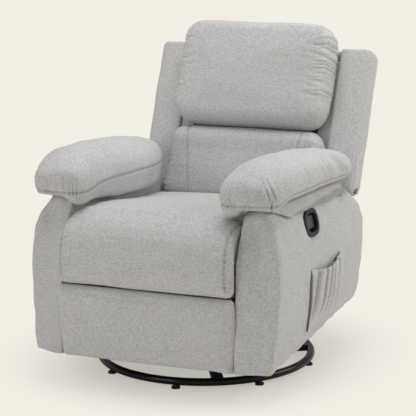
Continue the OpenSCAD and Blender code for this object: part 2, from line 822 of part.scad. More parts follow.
function arm_along(y) = (y - arm_front_y) / (arm_rear_y - arm_front_y);
function arm_low(y) = lerp(arm_bottom_front_z, arm_bottom_rear_z, arm_along(y));
function arm_top(y) = lerp(arm_top_front_z, arm_top_rear_z, arm_along(y));
function arm_front(v) = arm_front_y + 0.28 * arm_w * v + 0.23 * arm_w * pow(max(v - 0.8, 0) / 0.2, 2);
function arm_rear(v) =
    arm_rear_y + 0.17 * arm_w * sin(90 * min(v / 0.4, 1)) - 1.21 * arm_w * pow(max(v - 0.62, 0) / 0.38, 2);
function arm_side(t, v) =
    let (y = lerp(arm_front(v), arm_rear(v), t))
    [y, lerp(arm_low(y), arm_top(y), v)];
function arm_face(y, z) =
    arm_inner_x + arm_w * lookup((z - arm_low(y)) / (arm_top(y) - arm_low(y)), arm_face_shares);
function arm_ring(t, shift, inset) = [for (s = arm_shares)
    let (u = 0.5 + (s[0] - 0.5) * (1 - 2 * inset / arm_w))
    let (v = 0.5 + (s[1] - 0.5) * (1 - 2 * inset / arm_h))
    let (y = lerp(arm_front(v), arm_rear(v), t) + shift)
    [arm_inner_x + u * arm_w, y, lerp(arm_low(y), arm_top(y), v)]];

// Wooden arm frame: upright board with two windows, let into the inner face of the arm
arm_frame_shares = [[0.07, 0.08], [0.93, 0.08], [0.93, 0.6], [0.74, 0.86], [0.07, 0.86]];
arm_window_shares = [
    [[0.14, 0.55], [0.45, 0.55], [0.45, 0.78], [0.14, 0.78]],
    [[0.55, 0.55], [0.84, 0.55], [0.66, 0.78], [0.55, 0.78]],
    [[0.14, 0.13], [0.45, 0.13], [0.45, 0.27], [0.14, 0.27]],
    [[0.55, 0.13], [0.86, 0.13], [0.86, 0.22], [0.55, 0.22]]
];

module arm_frame(side) {
    color("#c9a878") on_side(side) plate(arm_inner_x, arm_frame_t) difference() {
        polygon([for (s = arm_frame_shares) arm_side(s[0], s[1])]);
        for (w = arm_window_shares) polygon([for (s = w) arm_side(s[0], s[1])]);
    }
}

module arm_frame_left() { arm_frame(1); }

module arm_frame_right() { arm_frame(-1); }

// Upholstered arm side, hollowed for the arm frame
module arm_panel(side) {
    cut = 4 * gap / arm_w;
    rings = concat(
        [for (k = [3 : -1 : 0]) arm_ring(0, arm_edge * (1 - sin(30 * k)), arm_edge * (1 - cos(30 * k)))],
        [for (k = [1 : 7]) arm_ring(k / 8, 0, 0)],
        [for (k = [0 : 3]) arm_ring(1, -arm_edge * (1 - sin(30 * k)), arm_edge * (1 - cos(30 * k)))]
    );
    difference() {
        skin(rings);
        plate(arm_inner_x - over, arm_frame_t + over + gap) polygon([for (s = arm_frame_shares)
            arm_side(s[0] + (s[0] < 0.5 ? -cut : cut), s[1] + (s[1] < 0.5 ? -cut : cut))]);
    }
}

module arm_panel_left() {
    color("#b9b2a8") difference() {
        arm_panel(1);
        on_handle() {
            plate(-bezel_back - gap, bezel_l) polygon(oval(bezel_l + 4 * gap, bezel_h + 4 * gap, 2.6));
            plate(-cup_depth - 3 * cup_wall, bezel_l)
                polygon(oval(cup_l + 2 * cup_wall + 4 * gap, cup_h + 2 * cup_wall + 4 * gap, 2.6));
        }
    }
}

module arm_panel_right() {
    color("#b9b2a8") mirror([1, 0, 0]) arm_panel(1);
}

// Arm pillow: thick pad over the arm, drawn in at both ends, hanging over the seat side
pillow_shares = [
    [0, 0.3], [0.02, 0.52], [0.09, 0.74], [0.22, 0.9], [0.4, 0.985], [0.55, 1], [0.72, 0.96],
    [0.87, 0.84], [0.96, 0.64], [1, 0.4], [0.985, 0.2], [0.95, 0.05], [0.85, 0], [0.6, 0],
    [0.38, 0], [0.3, -0.7], [0.2, -1], [0.08, -0.6], [0.015, 0.1]
];
pillow_inner_x = arm_inner_x - 0.347 * pillow_w;

function pillow_rear(u) = pillow_rear_y - 0.89 * pillow_w * pow(1 - u, 3);
function pillow_thick(t) = pillow_t * (1 - 0.6 * t * t + 0.24 * t);
function pillow_dip(t) = pillow_t * (0.14 + 0.36 * sin(90 * min(t / 0.66, 1)));
function pillow_ring(t, f) = [for (s = pillow_shares)
    let (u = 0.5 + (s[0] - 0.5) * f)
    let (y = lerp(pillow_front_y, pillow_rear(u), t))
    let (h = s[1] < 0 ? s[1] * pillow_dip(t) : s[1] * pillow_thick(t))
    [
        pillow_inner_x + u * pillow_w,
        y,
        arm_top(y) + 2 * gap + lerp(0.45 * pillow_thick(t), h, f)
    ]];
function drawn_in(q) = pow(1 - pow(1 - q, 2.5), 0.4);
pillow_end_shares = [0.02, 0.12, 0.3, 0.6, 1];

module arm_pillow(side) {
    front_share = 0.1;
    rear_share = 0.17;
    rings = concat(
        [for (q = pillow_end_shares) pillow_ring(front_share * q, drawn_in(q))],
        [for (k = [1 : 6]) pillow_ring(lerp(front_share, 1 - rear_share, k / 7), 1)],
        [for (k = [4 : -1 : 0])
            pillow_ring(1 - rear_share * pillow_end_shares[k], drawn_in(pillow_end_shares[k]))]
    );
    color("#b9b2a8") on_side(side) skin(rings);
}

module arm_pillow_left() { arm_pillow(1); }

module arm_pillow_right() { arm_pillow(-1); }

// Narrow flap of cloth that hangs from under the pillow over the arm side
module arm_flap(side) {
    front_y = arm_front_y + 0.46 * arm_w;
    rear_y = arm_rear_y - 0.94 * arm_w;
    off = 3 * gap + 0.75 * flap_t;
    columns = 12;
    rows = 8;
    color("#b9b2a8") on_side(side) skin([for (i = [0 : columns])
        let (y = lerp(front_y, rear_y, i / columns))
        let (top = arm_top(y) - 0.2 * flap_drop)
        let (drop = flap_drop * (0.08 + 0.92 * min(1, 1.1 * i / 2)))
        concat(
            [for (k = [0 : rows]) let (z = top - drop * k / rows) [arm_face(y, z) + off + flap_t, y, z]],
            [for (k = [rows : -1 : 0]) let (z = top - drop * k / rows) [arm_face(y, z) + off, y, z]]
        )], "ladder");
}

module arm_flap_left() { arm_flap(1); }

module arm_flap_right() { arm_flap(-1); }

// Side pocket: cloth sewn down at both sides and its foot, its mouth gathered and standing off
function pocket_point(s, w, out) =
    let (open = pow(4 * s * (1 - s), 0.6) * pow(w, 1.3))
    let (fold = 0.14 * sin(360 * 2.5 * s) * w * 4 * s * (1 - s))
    let (y = lerp(pocket_front_y, pocket_rear_y, s))
    let (z = lerp(pocket_bottom_z, pocket_top_z - pocket_sag * 4 * s * (1 - s), w))
    [arm_face(y, z) + 2 * gap + pocket_bulge * (open + fold) + out, y, z];

module side_pocket() {
    columns = 16;
    rows = 6;
    color("#b9b2a8") skin([for (k = [0 : rows]) concat(
        [for (i = [0 : columns]) pocket_point(i / columns, k / rows, pocket_t)],
        [for (i = [columns : -1 : 0]) pocket_point(i / columns, k / rows, 0)]
    )], "ladder");
}

// Release handle: bezel, cup behind it and the lever that is pulled outward
handle_x = arm_inner_x + 0.897 * arm_w;
bezel_back = 0.08 * bezel_h;
bezel_front = 0.035 * bezel_h;
cup_wall = 0.08 * cup_depth;
cup_l = bezel_l - 0.3 * bezel_h;
cup_h = 0.7 * bezel_h;
lever_t = 0.11 * cup_depth;
lever_pin_x = -0.34 * cup_depth;
lever_pin_y = 0.55 * lever_l;
lever_pin_d = 0.14 * cup_depth;
lever_barrel_d = 0.26 * cup_depth;
lever_h = 0.66 * cup_h;

function power(c, e) = sign(c) * pow(abs(c), 2 / e);
function oval(l, h, e) = [for (k = [0 : 47])
    [l / 2 * power(cos(7.5 * k), e), h / 2 * power(sin(7.5 * k), e)]];

module handle_bezel() {
    color("#141416") on_handle() plate(-bezel_back, bezel_back + bezel_front) difference() {
        polygon(oval(bezel_l, bezel_h, 2.6));
        polygon(oval(cup_l, cup_h, 2.6));
    }
}

module handle_cup() {
    color("#0c0c0d") on_handle() {
        plate(-cup_depth, cup_depth - bezel_back - gap) difference() {
            polygon(oval(cup_l + 2 * cup_wall, cup_h + 2 * cup_wall, 2.6));
            polygon(oval(cup_l, cup_h, 2.6));
        }
        plate(-cup_depth - cup_wall, cup_wall)
            polygon(oval(cup_l + 2 * cup_wall, cup_h + 2 * cup_wall, 2.6));
        translate([lever_pin_x, lever_pin_y, -0.42 * cup_h]) cylinder(h = 0.84 * cup_h, d = lever_pin_d);
    }
}

module release_lever() {
    color("#3b3c3f") on_handle() difference() {
        union() {
            plate(lever_pin_x - lever_t / 2, lever_t) translate([lever_pin_y - lever_l / 2, 0])
                polygon(oval(lever_l, lever_h, 7));
            translate([lever_pin_x, lever_pin_y, -0.45 * lever_h]) cylinder(h = 0.9 * lever_h, d = lever_barrel_d);
            translate([lever_pin_x, lever_pin_y - 0.95 * lever_l, -0.4 * lever_h])
                cylinder(h = 0.8 * lever_h, d = 0.8 * lever_barrel_d);
        }
        translate([lever_pin_x, lever_pin_y, -lever_h]) cylinder(h = 2 * lever_h, d = lever_pin_d + 2 * play);
    }
}

// Drive tube of the footrest, with a rear link fixed on each end
module drive_tube() {
    end_x = rear_link_x + plate_t;
    color("#8f9297") difference() {
        rod(-end_x, end_x, pivot_b, drive_tube_d);
        rod(-end_x - over, end_x + over, pivot_b, 0.7 * drive_tube_d);
    }
}

module rear_links() {
    color("#34363a") both_sides() {
        plate(rear_link_x, plate_t) difference() {
            strap(pivot_b, pivot_d, link_w);
            hole_at(pivot_b, drive_tube_d + 2 * play);
            lightened(lerp(pivot_b, pivot_d, 0.3), lerp(pivot_b, pivot_d, 0.7), 3, link_w / 3);
        }
        rod(rear_link_x + plate_t, outer_link_x - gap, pivot_d, pin_d);
    }
}

// Front link: turns on the side plate and carries the outer and the inner link
module front_link(side) {
    head_t = 0.6 * plate_t;
    color("#34363a") on_side(side) {
        plate(front_link_x, plate_t) difference() {
            strap(pivot_a, pivot_c, link_w);
            hole_at(pivot_a, bore_d);
            lightened(lerp(pivot_a, pivot_e, 0.25), lerp(pivot_a, pivot_e, 0.75), 4, link_w / 3);
        }
        rod(outer_link_x - 2 * gap, front_link_x, pivot_e, pin_d);
        rod(outer_link_x - 2 * gap - head_t, outer_link_x - 2 * gap, pivot_e, 1.6 * pin_d);
        rod(front_link_x + plate_t, inner_link_x + plate_t + gap, pivot_c, pin_d);
        rod(inner_link_x + plate_t + gap, inner_link_x + plate_t + gap + head_t, pivot_c, 1.6 * pin_d);
    }
}

module front_link_left() { front_link(1); }

module front_link_right() { front_link(-1); }

// Outer link: crosses the front link and carries the footrest bracket
module outer_link(side) {
    head_t = 0.6 * plate_t;
    color("#3a3c40") on_side(side) {
        plate(outer_link_x, plate_t) difference() {
            strap(pivot_d, pivot_f, link_w);
            hole_at(pivot_e, bore_d);
            lightened(lerp(pivot_e, pivot_f, 0.2), lerp(pivot_e, pivot_f, 0.8), 5, link_w / 3);
        }
        rod(outer_link_x + plate_t, front_link_x + plate_t + gap, pivot_f, pin_d);
        rod(front_link_x + plate_t + gap, front_link_x + plate_t + gap + head_t, pivot_f, 1.6 * pin_d);
    }
}

module outer_link_left() { outer_link(1); }

module outer_link_right() { outer_link(-1); }

// Inner link: from the end of the front link to the foot of the bracket
module inner_link(side) {
    color("#34363a") on_side(side) {
        plate(inner_link_x, plate_t) difference() {
            strap(pivot_g, pivot_c, link_w);
            hole_at(pivot_c, bore_d);
            lightened(lerp(pivot_g, pivot_c, 0.2), lerp(pivot_g, pivot_c, 0.8), 5, link_w / 3);
        }
    }
}

module inner_link_left() { inner_link(1); }

module inner_link_right() { inner_link(-1); }

// Footrest brackets: sheet webs on the outer links, with flanges screwed to the board
module footrest_brackets() {
    back_y = foot_back + gap;
    low = 0.35 * foot_len;
    high = 0.93 * foot_len;
    g = [foot_back + bracket_reach, bracket_up];
    f = [(pivot_f - foot_origin) * foot_in, (pivot_f - foot_origin) * foot_up];
    color("#3a3c40") on_footrest() both_sides() {
        plate(front_link_x, plate_t) difference() {
            union() {
                polygon([
                    [back_y, low], g + [0, -link_w / 2], g + [link_w / 2, 0], g + [link_w / 4, link_w / 2],
                    f + [link_w / 2, link_w / 3], [back_y, high]
                ]);
                translate(g) circle(d = link_w);
                translate(f) circle(d = link_w);
            }
            hole_at(f, bore_d);
            hole_at((f + g) / 2 - [link_w / 3, link_w / 2], link_w / 2);
        }
        translate([front_link_x, back_y, low]) cube([link_w, plate_t, high - low]);
        rod(front_link_x + plate_t, inner_link_x - gap, g, pin_d);
    }
}

// Footrest board behind the pad
module footrest_board() {
    half = seat_w / 2 - foot_board_t;
    low = 0.05 * foot_len;
    high = 0.94 * foot_len;
    cut = foot_board_t;
    color("#c9a878") on_footrest() translate([0, foot_pad_t, 0]) rotate([90, 0, 0]) mirror([0, 0, 1])
        linear_extrude(foot_board_t) polygon([
            [-half + cut, low], [half - cut, low], [half, low + cut], [half, high - cut],
            [half - cut, high], [-half + cut, high], [-half, high - cut], [-half, low + cut]
        ]);
}

// Padded cushion seen from the front, w wide and h high, front and back of its seam
function pad_corner(w, h, r, inset) = [for (c = [0 : 3], k = [0 : 4])
    let (a = 90 * c + 22.5 * k)
    let (round = max(r - inset, 0.2 * r))
    [
        (c == 0 || c == 3 ? 1 : -1) * (w / 2 - inset - round) + round * cos(a),
        (c < 2 ? 1 : -1) * (h / 2 - inset - round) + round * sin(a)
    ]];
function pad_depth(s, edge, puff) =
    (1 - puff) * pow(1 - pow(1 - min(s / edge, 1), 2.6), 1 / 2.6) + puff * (1 - (1 - s) * (1 - s));
function pad_ring(w, h, r, s, y) = [for (p = pad_corner(w, h, r, s * h / 2)) [p[0], y, p[1]]];

module cushion(w, h, r, front, back, edge, puff) {
    front_shares = [0.8, 0.55, 0.36, 0.22, 0.12, 0.04, 0];
    back_shares = [0.03, 0.1, 0.22, 0.5];
    mid = lerp(front, back, 0.55);
    skin(concat(
        [for (s = front_shares) pad_ring(w, h, r, s, mid + (front - mid) * pad_depth(s, edge, puff))],
        [for (s = back_shares) pad_ring(w, h, r, s, mid + (back - mid) * pad_depth(s, 0.2, 0))]
    ));
}

module footrest_pad() {
    color("#b9b2a8") on_footrest() translate([0, 0, (foot_len - foot_pad_over) / 2])
        cushion(seat_w, foot_len + foot_pad_over, 0.06 * foot_len, 0, foot_pad_t - gap, 0.22, 0.12);
}

// Back, drawn in its own frame: wing faces at Y 0, the frame behind them
post_w = 0.23 * back_t;
post_front = 0.308 * back_t;
post_rear = 0.77 * back_t;
post_x = plate_x - layer - post_w;
outer_post_x = back_w / 2 - 0.155 * back_t - post_w;
rail_tall = 0.385 * back_t;
back_top = wing_top - 0.13 * back_t;
wing_wall = 0.103 * back_t;

// Back brackets: sheet arms from the recline pivots up the frame's posts
module back_brackets() {
    hinge = recline - [back_y, back_z];
    turned_y = hinge[0] * cos(back_lean) - hinge[1] * sin(back_lean);
    turned_z = hinge[0] * sin(back_lean) + hinge[1] * cos(back_lean);
    pivot = [turned_y, turned_z];
    color("#3a3c40") on_back() both_sides() plate(inner_link_x + gap, plate_t) difference() {
        union() {
            polygon([
                pivot + [0, -plate_nose], [post_rear - gap, -back_foot], [post_rear - gap, -0.1 * back_foot],
                [post_front + gap, -0.1 * back_foot], pivot + [0, plate_nose]
            ]);
            translate(pivot) circle(r = plate_nose);
        }
        hole_at(pivot, bore_d);
        for (k = [0 : 2]) hole_at([(post_front + post_rear) / 2, -0.8 * back_foot + 0.28 * k * back_foot], pin_d);
    }
}

// Back frame: inner posts down to the brackets, outer posts behind the wings, three rails
module back_frame() {
    depth = post_rear - post_front;
    bottom = post_x + post_w;
    wide = outer_post_x + post_w;
    color("#c9a878") on_back() translate([0, post_front, 0]) {
        both_sides() {
            translate([post_x, 0, -back_foot]) cube([post_w, depth, back_foot + back_top]);
            translate([outer_post_x, 0, wing_foot + rail_tall]) cube([post_w, depth, back_top - wing_foot - rail_tall]);
        }
        translate([-wide, 0, back_top - rail_tall]) cube([2 * wide, depth, rail_tall]);
        translate([-wide, 0, wing_foot + rail_tall]) cube([2 * wide, depth, rail_tall]);
        translate([-bottom, 0, -back_foot]) cube([2 * bottom, depth, rail_tall]);
    }
}

// Webbing: elastic straps across the front of the inner posts
module back_webbing() {
    web_t = 0.03 * back_t;
    web_w = 0.6 * back_t;
    half = post_x + post_w;
    count = 7;
    color("#6b6a66") on_back() for (i = [0 : count - 1])
        translate([-half, post_front - web_t, lerp(-0.85 * back_foot, back_top - web_w, i / (count - 1))])
            cube([2 * half, web_t, web_w]);
}

// Rear cover: padded panel over the back of the frame, narrow between the arms
module rear_cover() {
    foot = wing_foot + wing_wall + 2 * gap;
    wide = back_w / 2 - 0.108 * back_t;
    narrow = post_x + post_w;
    low = 0.92 * back_foot;
    soft = 0.2 * back_t;
    color("#b9b2a8") on_back() translate([0, post_rear + gap, 0]) mirror([0, 1, 0]) rotate([90, 0, 0])
        linear_extrude(back_t - post_rear - gap) polygon([
            [-narrow + soft, -low], [narrow - soft, -low], [narrow, -low + soft], [narrow, foot],
            [wide, foot], [wide, wing_top - 2 * soft], [wide - soft / 2, wing_top - soft],
            [-wide + soft / 2, wing_top - soft], [-wide, wing_top - 2 * soft], [-wide, foot],
            [-narrow, foot], [-narrow, -low + soft]
        ]);
}

// Wing: padded side of the back, hollow behind for the frame
module wing(side) {
    outer = back_w / 2;
    inner = back_inner_w / 2;
    pad = post_front - gap;
    soft = 0.36 * back_t;
    face = [
        [inner, back_t], [inner, 0.12 * back_t], [inner + 0.03 * back_t, 0.04 * back_t],
        [inner + 0.12 * back_t, 0], [lerp(inner, outer, 0.5), -0.05 * back_t],
        [outer - 0.45 * back_t, -0.03 * back_t], [outer - 0.2 * back_t, 0.05 * back_t],
        [outer - 0.07 * back_t, 0.2 * back_t], [outer - 0.015 * back_t, 0.4 * back_t],
        [outer, 0.6 * back_t], [outer, 0.85 * back_t], [outer - 0.05 * back_t, back_t]
    ];
    color("#b9b2a8") on_back() on_side(side) difference() {
        intersection() {
            translate([0, 0, wing_foot]) linear_extrude(wing_top - wing_foot) polygon(face);
            rotate([90, 0, 0]) mirror([0, 0, 1]) translate([0, 0, -back_t]) linear_extrude(3 * back_t) {
                polygon([
                    [inner - over, wing_foot], [outer - soft / 2, wing_foot], [outer, wing_foot + soft],
                    [outer, wing_top - soft], [outer - soft, wing_top], [inner - over, wing_top]
                ]);
                translate([outer - soft, wing_top - soft]) circle(r = soft);
            }
        }
        translate([inner - over, pad, wing_foot + wing_wall])
            cube([outer - wing_wall - inner + over, back_t, wing_top - 2 * wing_wall - wing_foot]);
    }
}

module wing_left() { wing(1); }

module wing_right() { wing(-1); }

module lumbar_cushion() {
    h = head_foot - gap + lumbar_foot;
    color("#b9b2a8") on_back() translate([0, 0, h / 2 - lumbar_foot])
        cushion(0.967 * back_inner_w, h, 0.2 * h, -lumbar_t, 0.277 * back_t, 0.5, 0.25);
}

module head_cushion() {
    color("#b9b2a8") on_back() translate([0, 0, head_foot + head_h / 2])
        cushion(0.985 * back_inner_w, head_h, 0.2 * head_h, -head_t, 0.27 * back_t, 0.5, 0.2);
}

floor_ring();
cross_arms();
glide_feet();
hub_plate();
lower_race();
bearing_balls();
upper_race();
turntable_plate();
king_bolt();
cross_channels();
rocker_rail_left();
rocker_rail_right();
lower_spring_brackets();
rocker_springs();
upper_spring_brackets();
rocker_cam_left();
rocker_cam_right();
base_angles();
side_plate_left();
side_plate_right();
mount_boards();
tube_hangers();
seat_box();
seat_springs();
seat_felt();
seat_cushion();
arm_frame_left();
arm_frame_right();
arm_panel_left();
arm_panel_right();
arm_pillow_left();
arm_pillow_right();
arm_flap_left();
arm_flap_right();
side_pocket();
handle_bezel();
handle_cup();
release_lever();
drive_tube();
rear_links();
front_link_left();
front_link_right();
outer_link_left();
outer_link_right();
inner_link_left();
inner_link_right();
footrest_brackets();
footrest_board();
footrest_pad();
back_brackets();
back_frame();
back_webbing();
rear_cover();
wing_left();
wing_right();
lumbar_cushion();
head_cushion();
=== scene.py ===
import json
import math

import bpy
import numpy as np
from mathutils import Matrix, Vector


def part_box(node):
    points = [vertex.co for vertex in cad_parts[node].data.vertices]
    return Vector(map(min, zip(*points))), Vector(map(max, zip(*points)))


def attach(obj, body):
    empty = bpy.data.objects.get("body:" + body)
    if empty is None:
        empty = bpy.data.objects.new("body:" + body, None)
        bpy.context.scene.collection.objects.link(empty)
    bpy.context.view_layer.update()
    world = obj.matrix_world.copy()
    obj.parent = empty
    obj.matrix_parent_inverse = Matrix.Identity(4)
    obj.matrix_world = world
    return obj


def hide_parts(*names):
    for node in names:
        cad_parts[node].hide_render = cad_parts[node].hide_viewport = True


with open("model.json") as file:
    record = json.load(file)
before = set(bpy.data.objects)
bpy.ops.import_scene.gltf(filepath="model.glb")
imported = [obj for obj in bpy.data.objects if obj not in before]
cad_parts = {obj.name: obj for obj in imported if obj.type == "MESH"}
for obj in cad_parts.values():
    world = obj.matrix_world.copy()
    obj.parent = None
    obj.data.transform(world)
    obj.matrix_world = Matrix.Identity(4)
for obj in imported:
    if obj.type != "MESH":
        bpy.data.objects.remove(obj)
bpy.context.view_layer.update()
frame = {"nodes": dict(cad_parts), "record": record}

# Camera, from the photograph: 416 by 416 pixels, the focal length in those pixels
PHOTO_SIDE = 416
FOCAL_PX = 1764.826
SENSOR_MM = 36.0
CAMERA_TURN = 0.412357626
CAMERA_RISE = 0.208098851
CAMERA_ROLL = -0.00868020408
CAMERA_AWAY = 5.70611919
CAMERA_TARGET = Vector((0, -0.020, 0.494763236))

# The back's own leaning frame
BACK_LEAN = math.radians(23)
BACK_ORIGIN = Vector((0, 0.282, 0.500))
LEAN_COS, LEAN_SIN = math.cos(BACK_LEAN), math.sin(BACK_LEAN)

# Remeshing and cloth simulation of the padded pieces; lengths in metres, here and below
VOXEL, PANEL_VOXEL, THIN_VOXEL = 0.007, 0.008, 0.006
START_INSET = 0.001
MOST_INWARD = 0.002
SLIDE_SHARE = 0.25
SIM_FRAMES = 20
PIN_STEPS = 10
SETTLE_MOST, SETTLE = 3, {"seat_cushion": 1, "footrest_pad": 1}

# Arm pillows: the seam as a share of the thickness, and how far the front end hangs down
PILLOW_INSET = 0.006
PILLOW_SEAM = 0.14
PILLOW_THICK = 0.105
PILLOW_DROOP = 0.020

# Arm panels
ARM_FRAME_DEEP = 0.024
ARM_CLOTH_PROUD = 0.0006
ARM_FRONT_SQUARE = 0.032
ARM_NOSE_DROP = 0.024
ARM_BULGE = 0.004

# Head and lumbar cushions: reach of the rounded rim, radius of its corners, extra width at each side
HEAD_REACH, HEAD_CORNER, HEAD_WIDER = 0.055, 0.075, 0.006
LUMBAR_REACH, LUMBAR_CORNER, LUMBAR_WIDER = 0.060, 0.050, 0.010
RIM_POWER = 2.6

# Footrest pad: how far its lower end swells forward, hangs lower and rises at the top
FOOTREST_FULL = 0.034
FOOTREST_LOWER = 0.012
FOOTREST_RAISED = 0.004

# Seams and unevenness
PIPING_GROOVE = 0.0030
SEAM_GROOVE = 0.0022
SEAM_REACH = 0.0045
UNEVEN = 0.0016

# Shift along the pleats on the other side of a piece, so that its two sides differ
OTHER_SIDE = 3.7

# Sheets: the pocket's fullness, gathers and fold pitch, and the linings
POCKET_FULL = 0.014
POCKET_FOLD = 0.047
LINING_THICK = 0.0008
LINING_COLUMNS, LINING_ROWS = 24, 40
LINING_SIDE = 0.045
LINING_FOOT = -0.050

# Colours, linear, and the strength of the light from all round
BACKDROP = (0.900, 0.860, 0.785)
FLOOR_COLOUR = (0.95, 0.915, 0.85)
AMBIENT_COLOUR = (1.0, 0.99, 0.975)
AMBIENT = 0.30
CLOTH_LIGHT = (0.722, 0.721, 0.716)
CLOTH_DARK = (0.490, 0.488, 0.482)
# Colour of the painted shade in seams and fold bottoms
PAINTED_SHADE_COLOUR = (0.070, 0.069, 0.067)

# The mesh attribute that carries painted shade in seams and folds to the cloth's colour
PAINTED_SHADE_ATTRIBUTE = "painted_seam_fold_shade"

# Floor: its shadow fades into the backdrop between these distances from the middle, from this share on
FLOOR_HALF = 9.0
SHADOW_NEAR, SHADOW_FAR = 0.36, 0.80
SHADOW_FADE = 0.52

# The place that every lamp points at
LAMP_AIM = Vector((0, 0, 0.5))

# Padded pieces: the body that each rides on, and how full it is
PADDED = {
    "seat_cushion": ("chassis", 0.85), "head_cushion": ("back", 0.7), "lumbar_cushion": ("back", 0.7),
    "footrest_pad": ("footrest", 0.8), "arm_pillow_left": ("chassis", 0.75),
    "arm_pillow_right": ("chassis", 0.75), "arm_panel_left": ("chassis", 0.9),
    "arm_panel_right": ("chassis", 0.9), "wing_left": ("back", 0.8), "wing_right": ("back", 0.8),
    "rear_cover": ("back", 0.9),
}
SIDES = ((1, "left"), (-1, "right"))


def make_camera():
    """The photograph's camera, solved from its turn, rise, roll and distance about a target."""
    back = Vector((
        math.sin(CAMERA_TURN) * math.cos(CAMERA_RISE),
        -math.cos(CAMERA_TURN) * math.cos(CAMERA_RISE),
        math.sin(CAMERA_RISE),
    ))
    level = Vector((math.cos(CAMERA_TURN), math.sin(CAMERA_TURN), 0))
    upward = back.cross(level)
    right = level * math.cos(CAMERA_ROLL) + upward * math.sin(CAMERA_ROLL)
    up = upward * math.cos(CAMERA_ROLL) - level * math.sin(CAMERA_ROLL)
    data = bpy.data.cameras.new("camera")
    data.sensor_width = SENSOR_MM
    data.lens = FOCAL_PX / PHOTO_SIDE * SENSOR_MM
    camera = bpy.data.objects.new("camera", data)
    bpy.context.scene.collection.objects.link(camera)
    turn = Matrix((right, up, back)).transposed()
    camera.matrix_world = Matrix.Translation(CAMERA_TARGET + back * CAMERA_AWAY) @ turn.to_4x4()
    bpy.context.scene.camera = camera


# Small helpers for shader trees
class Tree:
    def __init__(self, name):
        self.material = bpy.data.materials.new(name)
        self.material.use_nodes = True
        self.nodes = self.material.node_tree.nodes
        self.links = self.material.node_tree.links
        self.shader = self.nodes["Principled BSDF"]
        self.place = self.nodes.new("ShaderNodeTexCoord").outputs["Object"]

    def put(self, kind, inputs=(), **settings):
        node = self.nodes.new(kind)
        for key, value in settings.items():
            setattr(node, key, value)
        for key, value in dict(inputs).items():
            if isinstance(value, bpy.types.NodeSocket):
                self.links.new(value, node.inputs[key])
            else:
                node.inputs[key].default_value = value
        return node

    def math(self, operation, a, b=0.0):
        return self.put("ShaderNodeMath", {0: a, 1: b}, operation=operation).outputs[0]

    def noise(self, scale, detail=3.0, stretch=None):
        place = self.place
        if stretch:
            place = self.put("ShaderNodeMapping", {"Vector": place, "Scale": stretch}).outputs[0]
        node = self.put("ShaderNodeTexNoise", {"Vector": place, "Scale": scale, "Detail": detail})
        return node.outputs["Fac"]

    def ramp(self, value, stops):
        node = self.put("ShaderNodeValToRGB", {"Fac": value})
        elements = node.color_ramp.elements
        while len(elements) < len(stops):
            elements.new(0.5)
        for element, (at, colour) in zip(elements, stops):
            element.position = at
            element.color = (*colour, 1.0)
        return node.outputs["Color"]

    def mix(self, share, a, b, blend="MIX"):
        colours = {"Factor": share, 6: a, 7: b}
        return self.put("ShaderNodeMix", colours, data_type="RGBA", blend_type=blend).outputs[2]

    def spread(self, value, low, high):
        return self.put("ShaderNodeMapRange", {"Value": value, "To Min": low, "To Max": high}).outputs[0]

    def colour(self, socket):
        self.links.new(socket, self.shader.inputs["Base Color"])

    def roughness(self, socket):
        self.links.new(socket, self.shader.inputs["Roughness"])

    def bump(self, height, depth, strength=1.0):
        node = self.put("ShaderNodeBump", {"Height": height, "Distance": depth, "Strength": strength})
        self.links.new(node.outputs["Normal"], self.shader.inputs["Normal"])

    def fixed(self, **values):
        for key, value in values.items():
            self.shader.inputs[key.replace("_", " ")].default_value = value


def threads(tree, pitch):
    """Warp and weft height, taken on the two axes that a face spans."""
    wave = 2 * math.pi / pitch
    axes = tree.put("ShaderNodeSeparateXYZ", {0: tree.place}).outputs
    normal = tree.nodes.new("ShaderNodeNewGeometry").outputs["Normal"]
    facing = tree.put("ShaderNodeSeparateXYZ", {0: normal}).outputs
    swing = [tree.math("SINE", tree.math("MULTIPLY", axis, wave)) for axis in axes]
    total = None
    for i, (a, b) in enumerate(((1, 2), (0, 2), (0, 1))):
        share = tree.math("MULTIPLY", facing[i], facing[i])
        part = tree.math("MULTIPLY", tree.math("MULTIPLY", swing[a], swing[b]), share)
        total = part if total is None else tree.math("ADD", total, part)
    return total


def linen():
    """Heathered weave: flecks of light and dark yarn, with painted shade down in the creases and seams."""
    tree = Tree("linen_weave")
    fleck = tree.noise(400, 2, (1, 1, 0.5))
    slub = tree.noise(300, 2, (0.4, 0.4, 1))
    cloud = tree.noise(9, 3)
    weave = threads(tree, 0.0024)
    heather = tree.math("ADD", tree.math("MULTIPLY", fleck, 0.5), tree.math("MULTIPLY", slub, 0.5))
    value = tree.math("ADD", tree.math("MULTIPLY", heather, 0.93), tree.math("MULTIPLY", cloud, 0.07))
    yarn = tree.ramp(value, [(0.38, CLOTH_DARK), (0.62, CLOTH_LIGHT)])
    # Painted shade: pointiness darkens the colour in creases
    fold = tree.nodes.new("ShaderNodeNewGeometry").outputs["Pointiness"]
    painted_crease_shade = tree.ramp(fold, [(0.44, (0.50, 0.50, 0.50)), (0.49, (1, 1, 1))])
    shaded = tree.mix(1.0, yarn, painted_crease_shade, "MULTIPLY")
    # Painted shade in seams and fold bottoms, from the mesh attribute
    sewn = tree.put("ShaderNodeAttribute", attribute_name=PAINTED_SHADE_ATTRIBUTE).outputs["Fac"]
    tree.colour(tree.mix(sewn, shaded, (*PAINTED_SHADE_COLOUR, 1)))
    tree.roughness(tree.spread(heather, 0.86, 0.98))
    height = tree.math("ADD", tree.math("MULTIPLY", weave, 0.5), heather)
    tree.bump(height, 0.0008, 0.6)
    tree.fixed(Sheen_Weight=0.12, Sheen_Roughness=0.45, Specular_IOR_Level=0.15)
    return tree.material


def webbing_cloth():
    tree = Tree("webbing_weave")
    weave = threads(tree, 0.004)
    fleck = tree.noise(300, 2)
    tree.colour(tree.ramp(fleck, [(0.3, (0.10, 0.10, 0.095)), (0.7, (0.17, 0.165, 0.155))]))
    tree.roughness(tree.spread(fleck, 0.8, 0.95))
    tree.bump(weave, 0.0008, 0.6)
    return tree.material


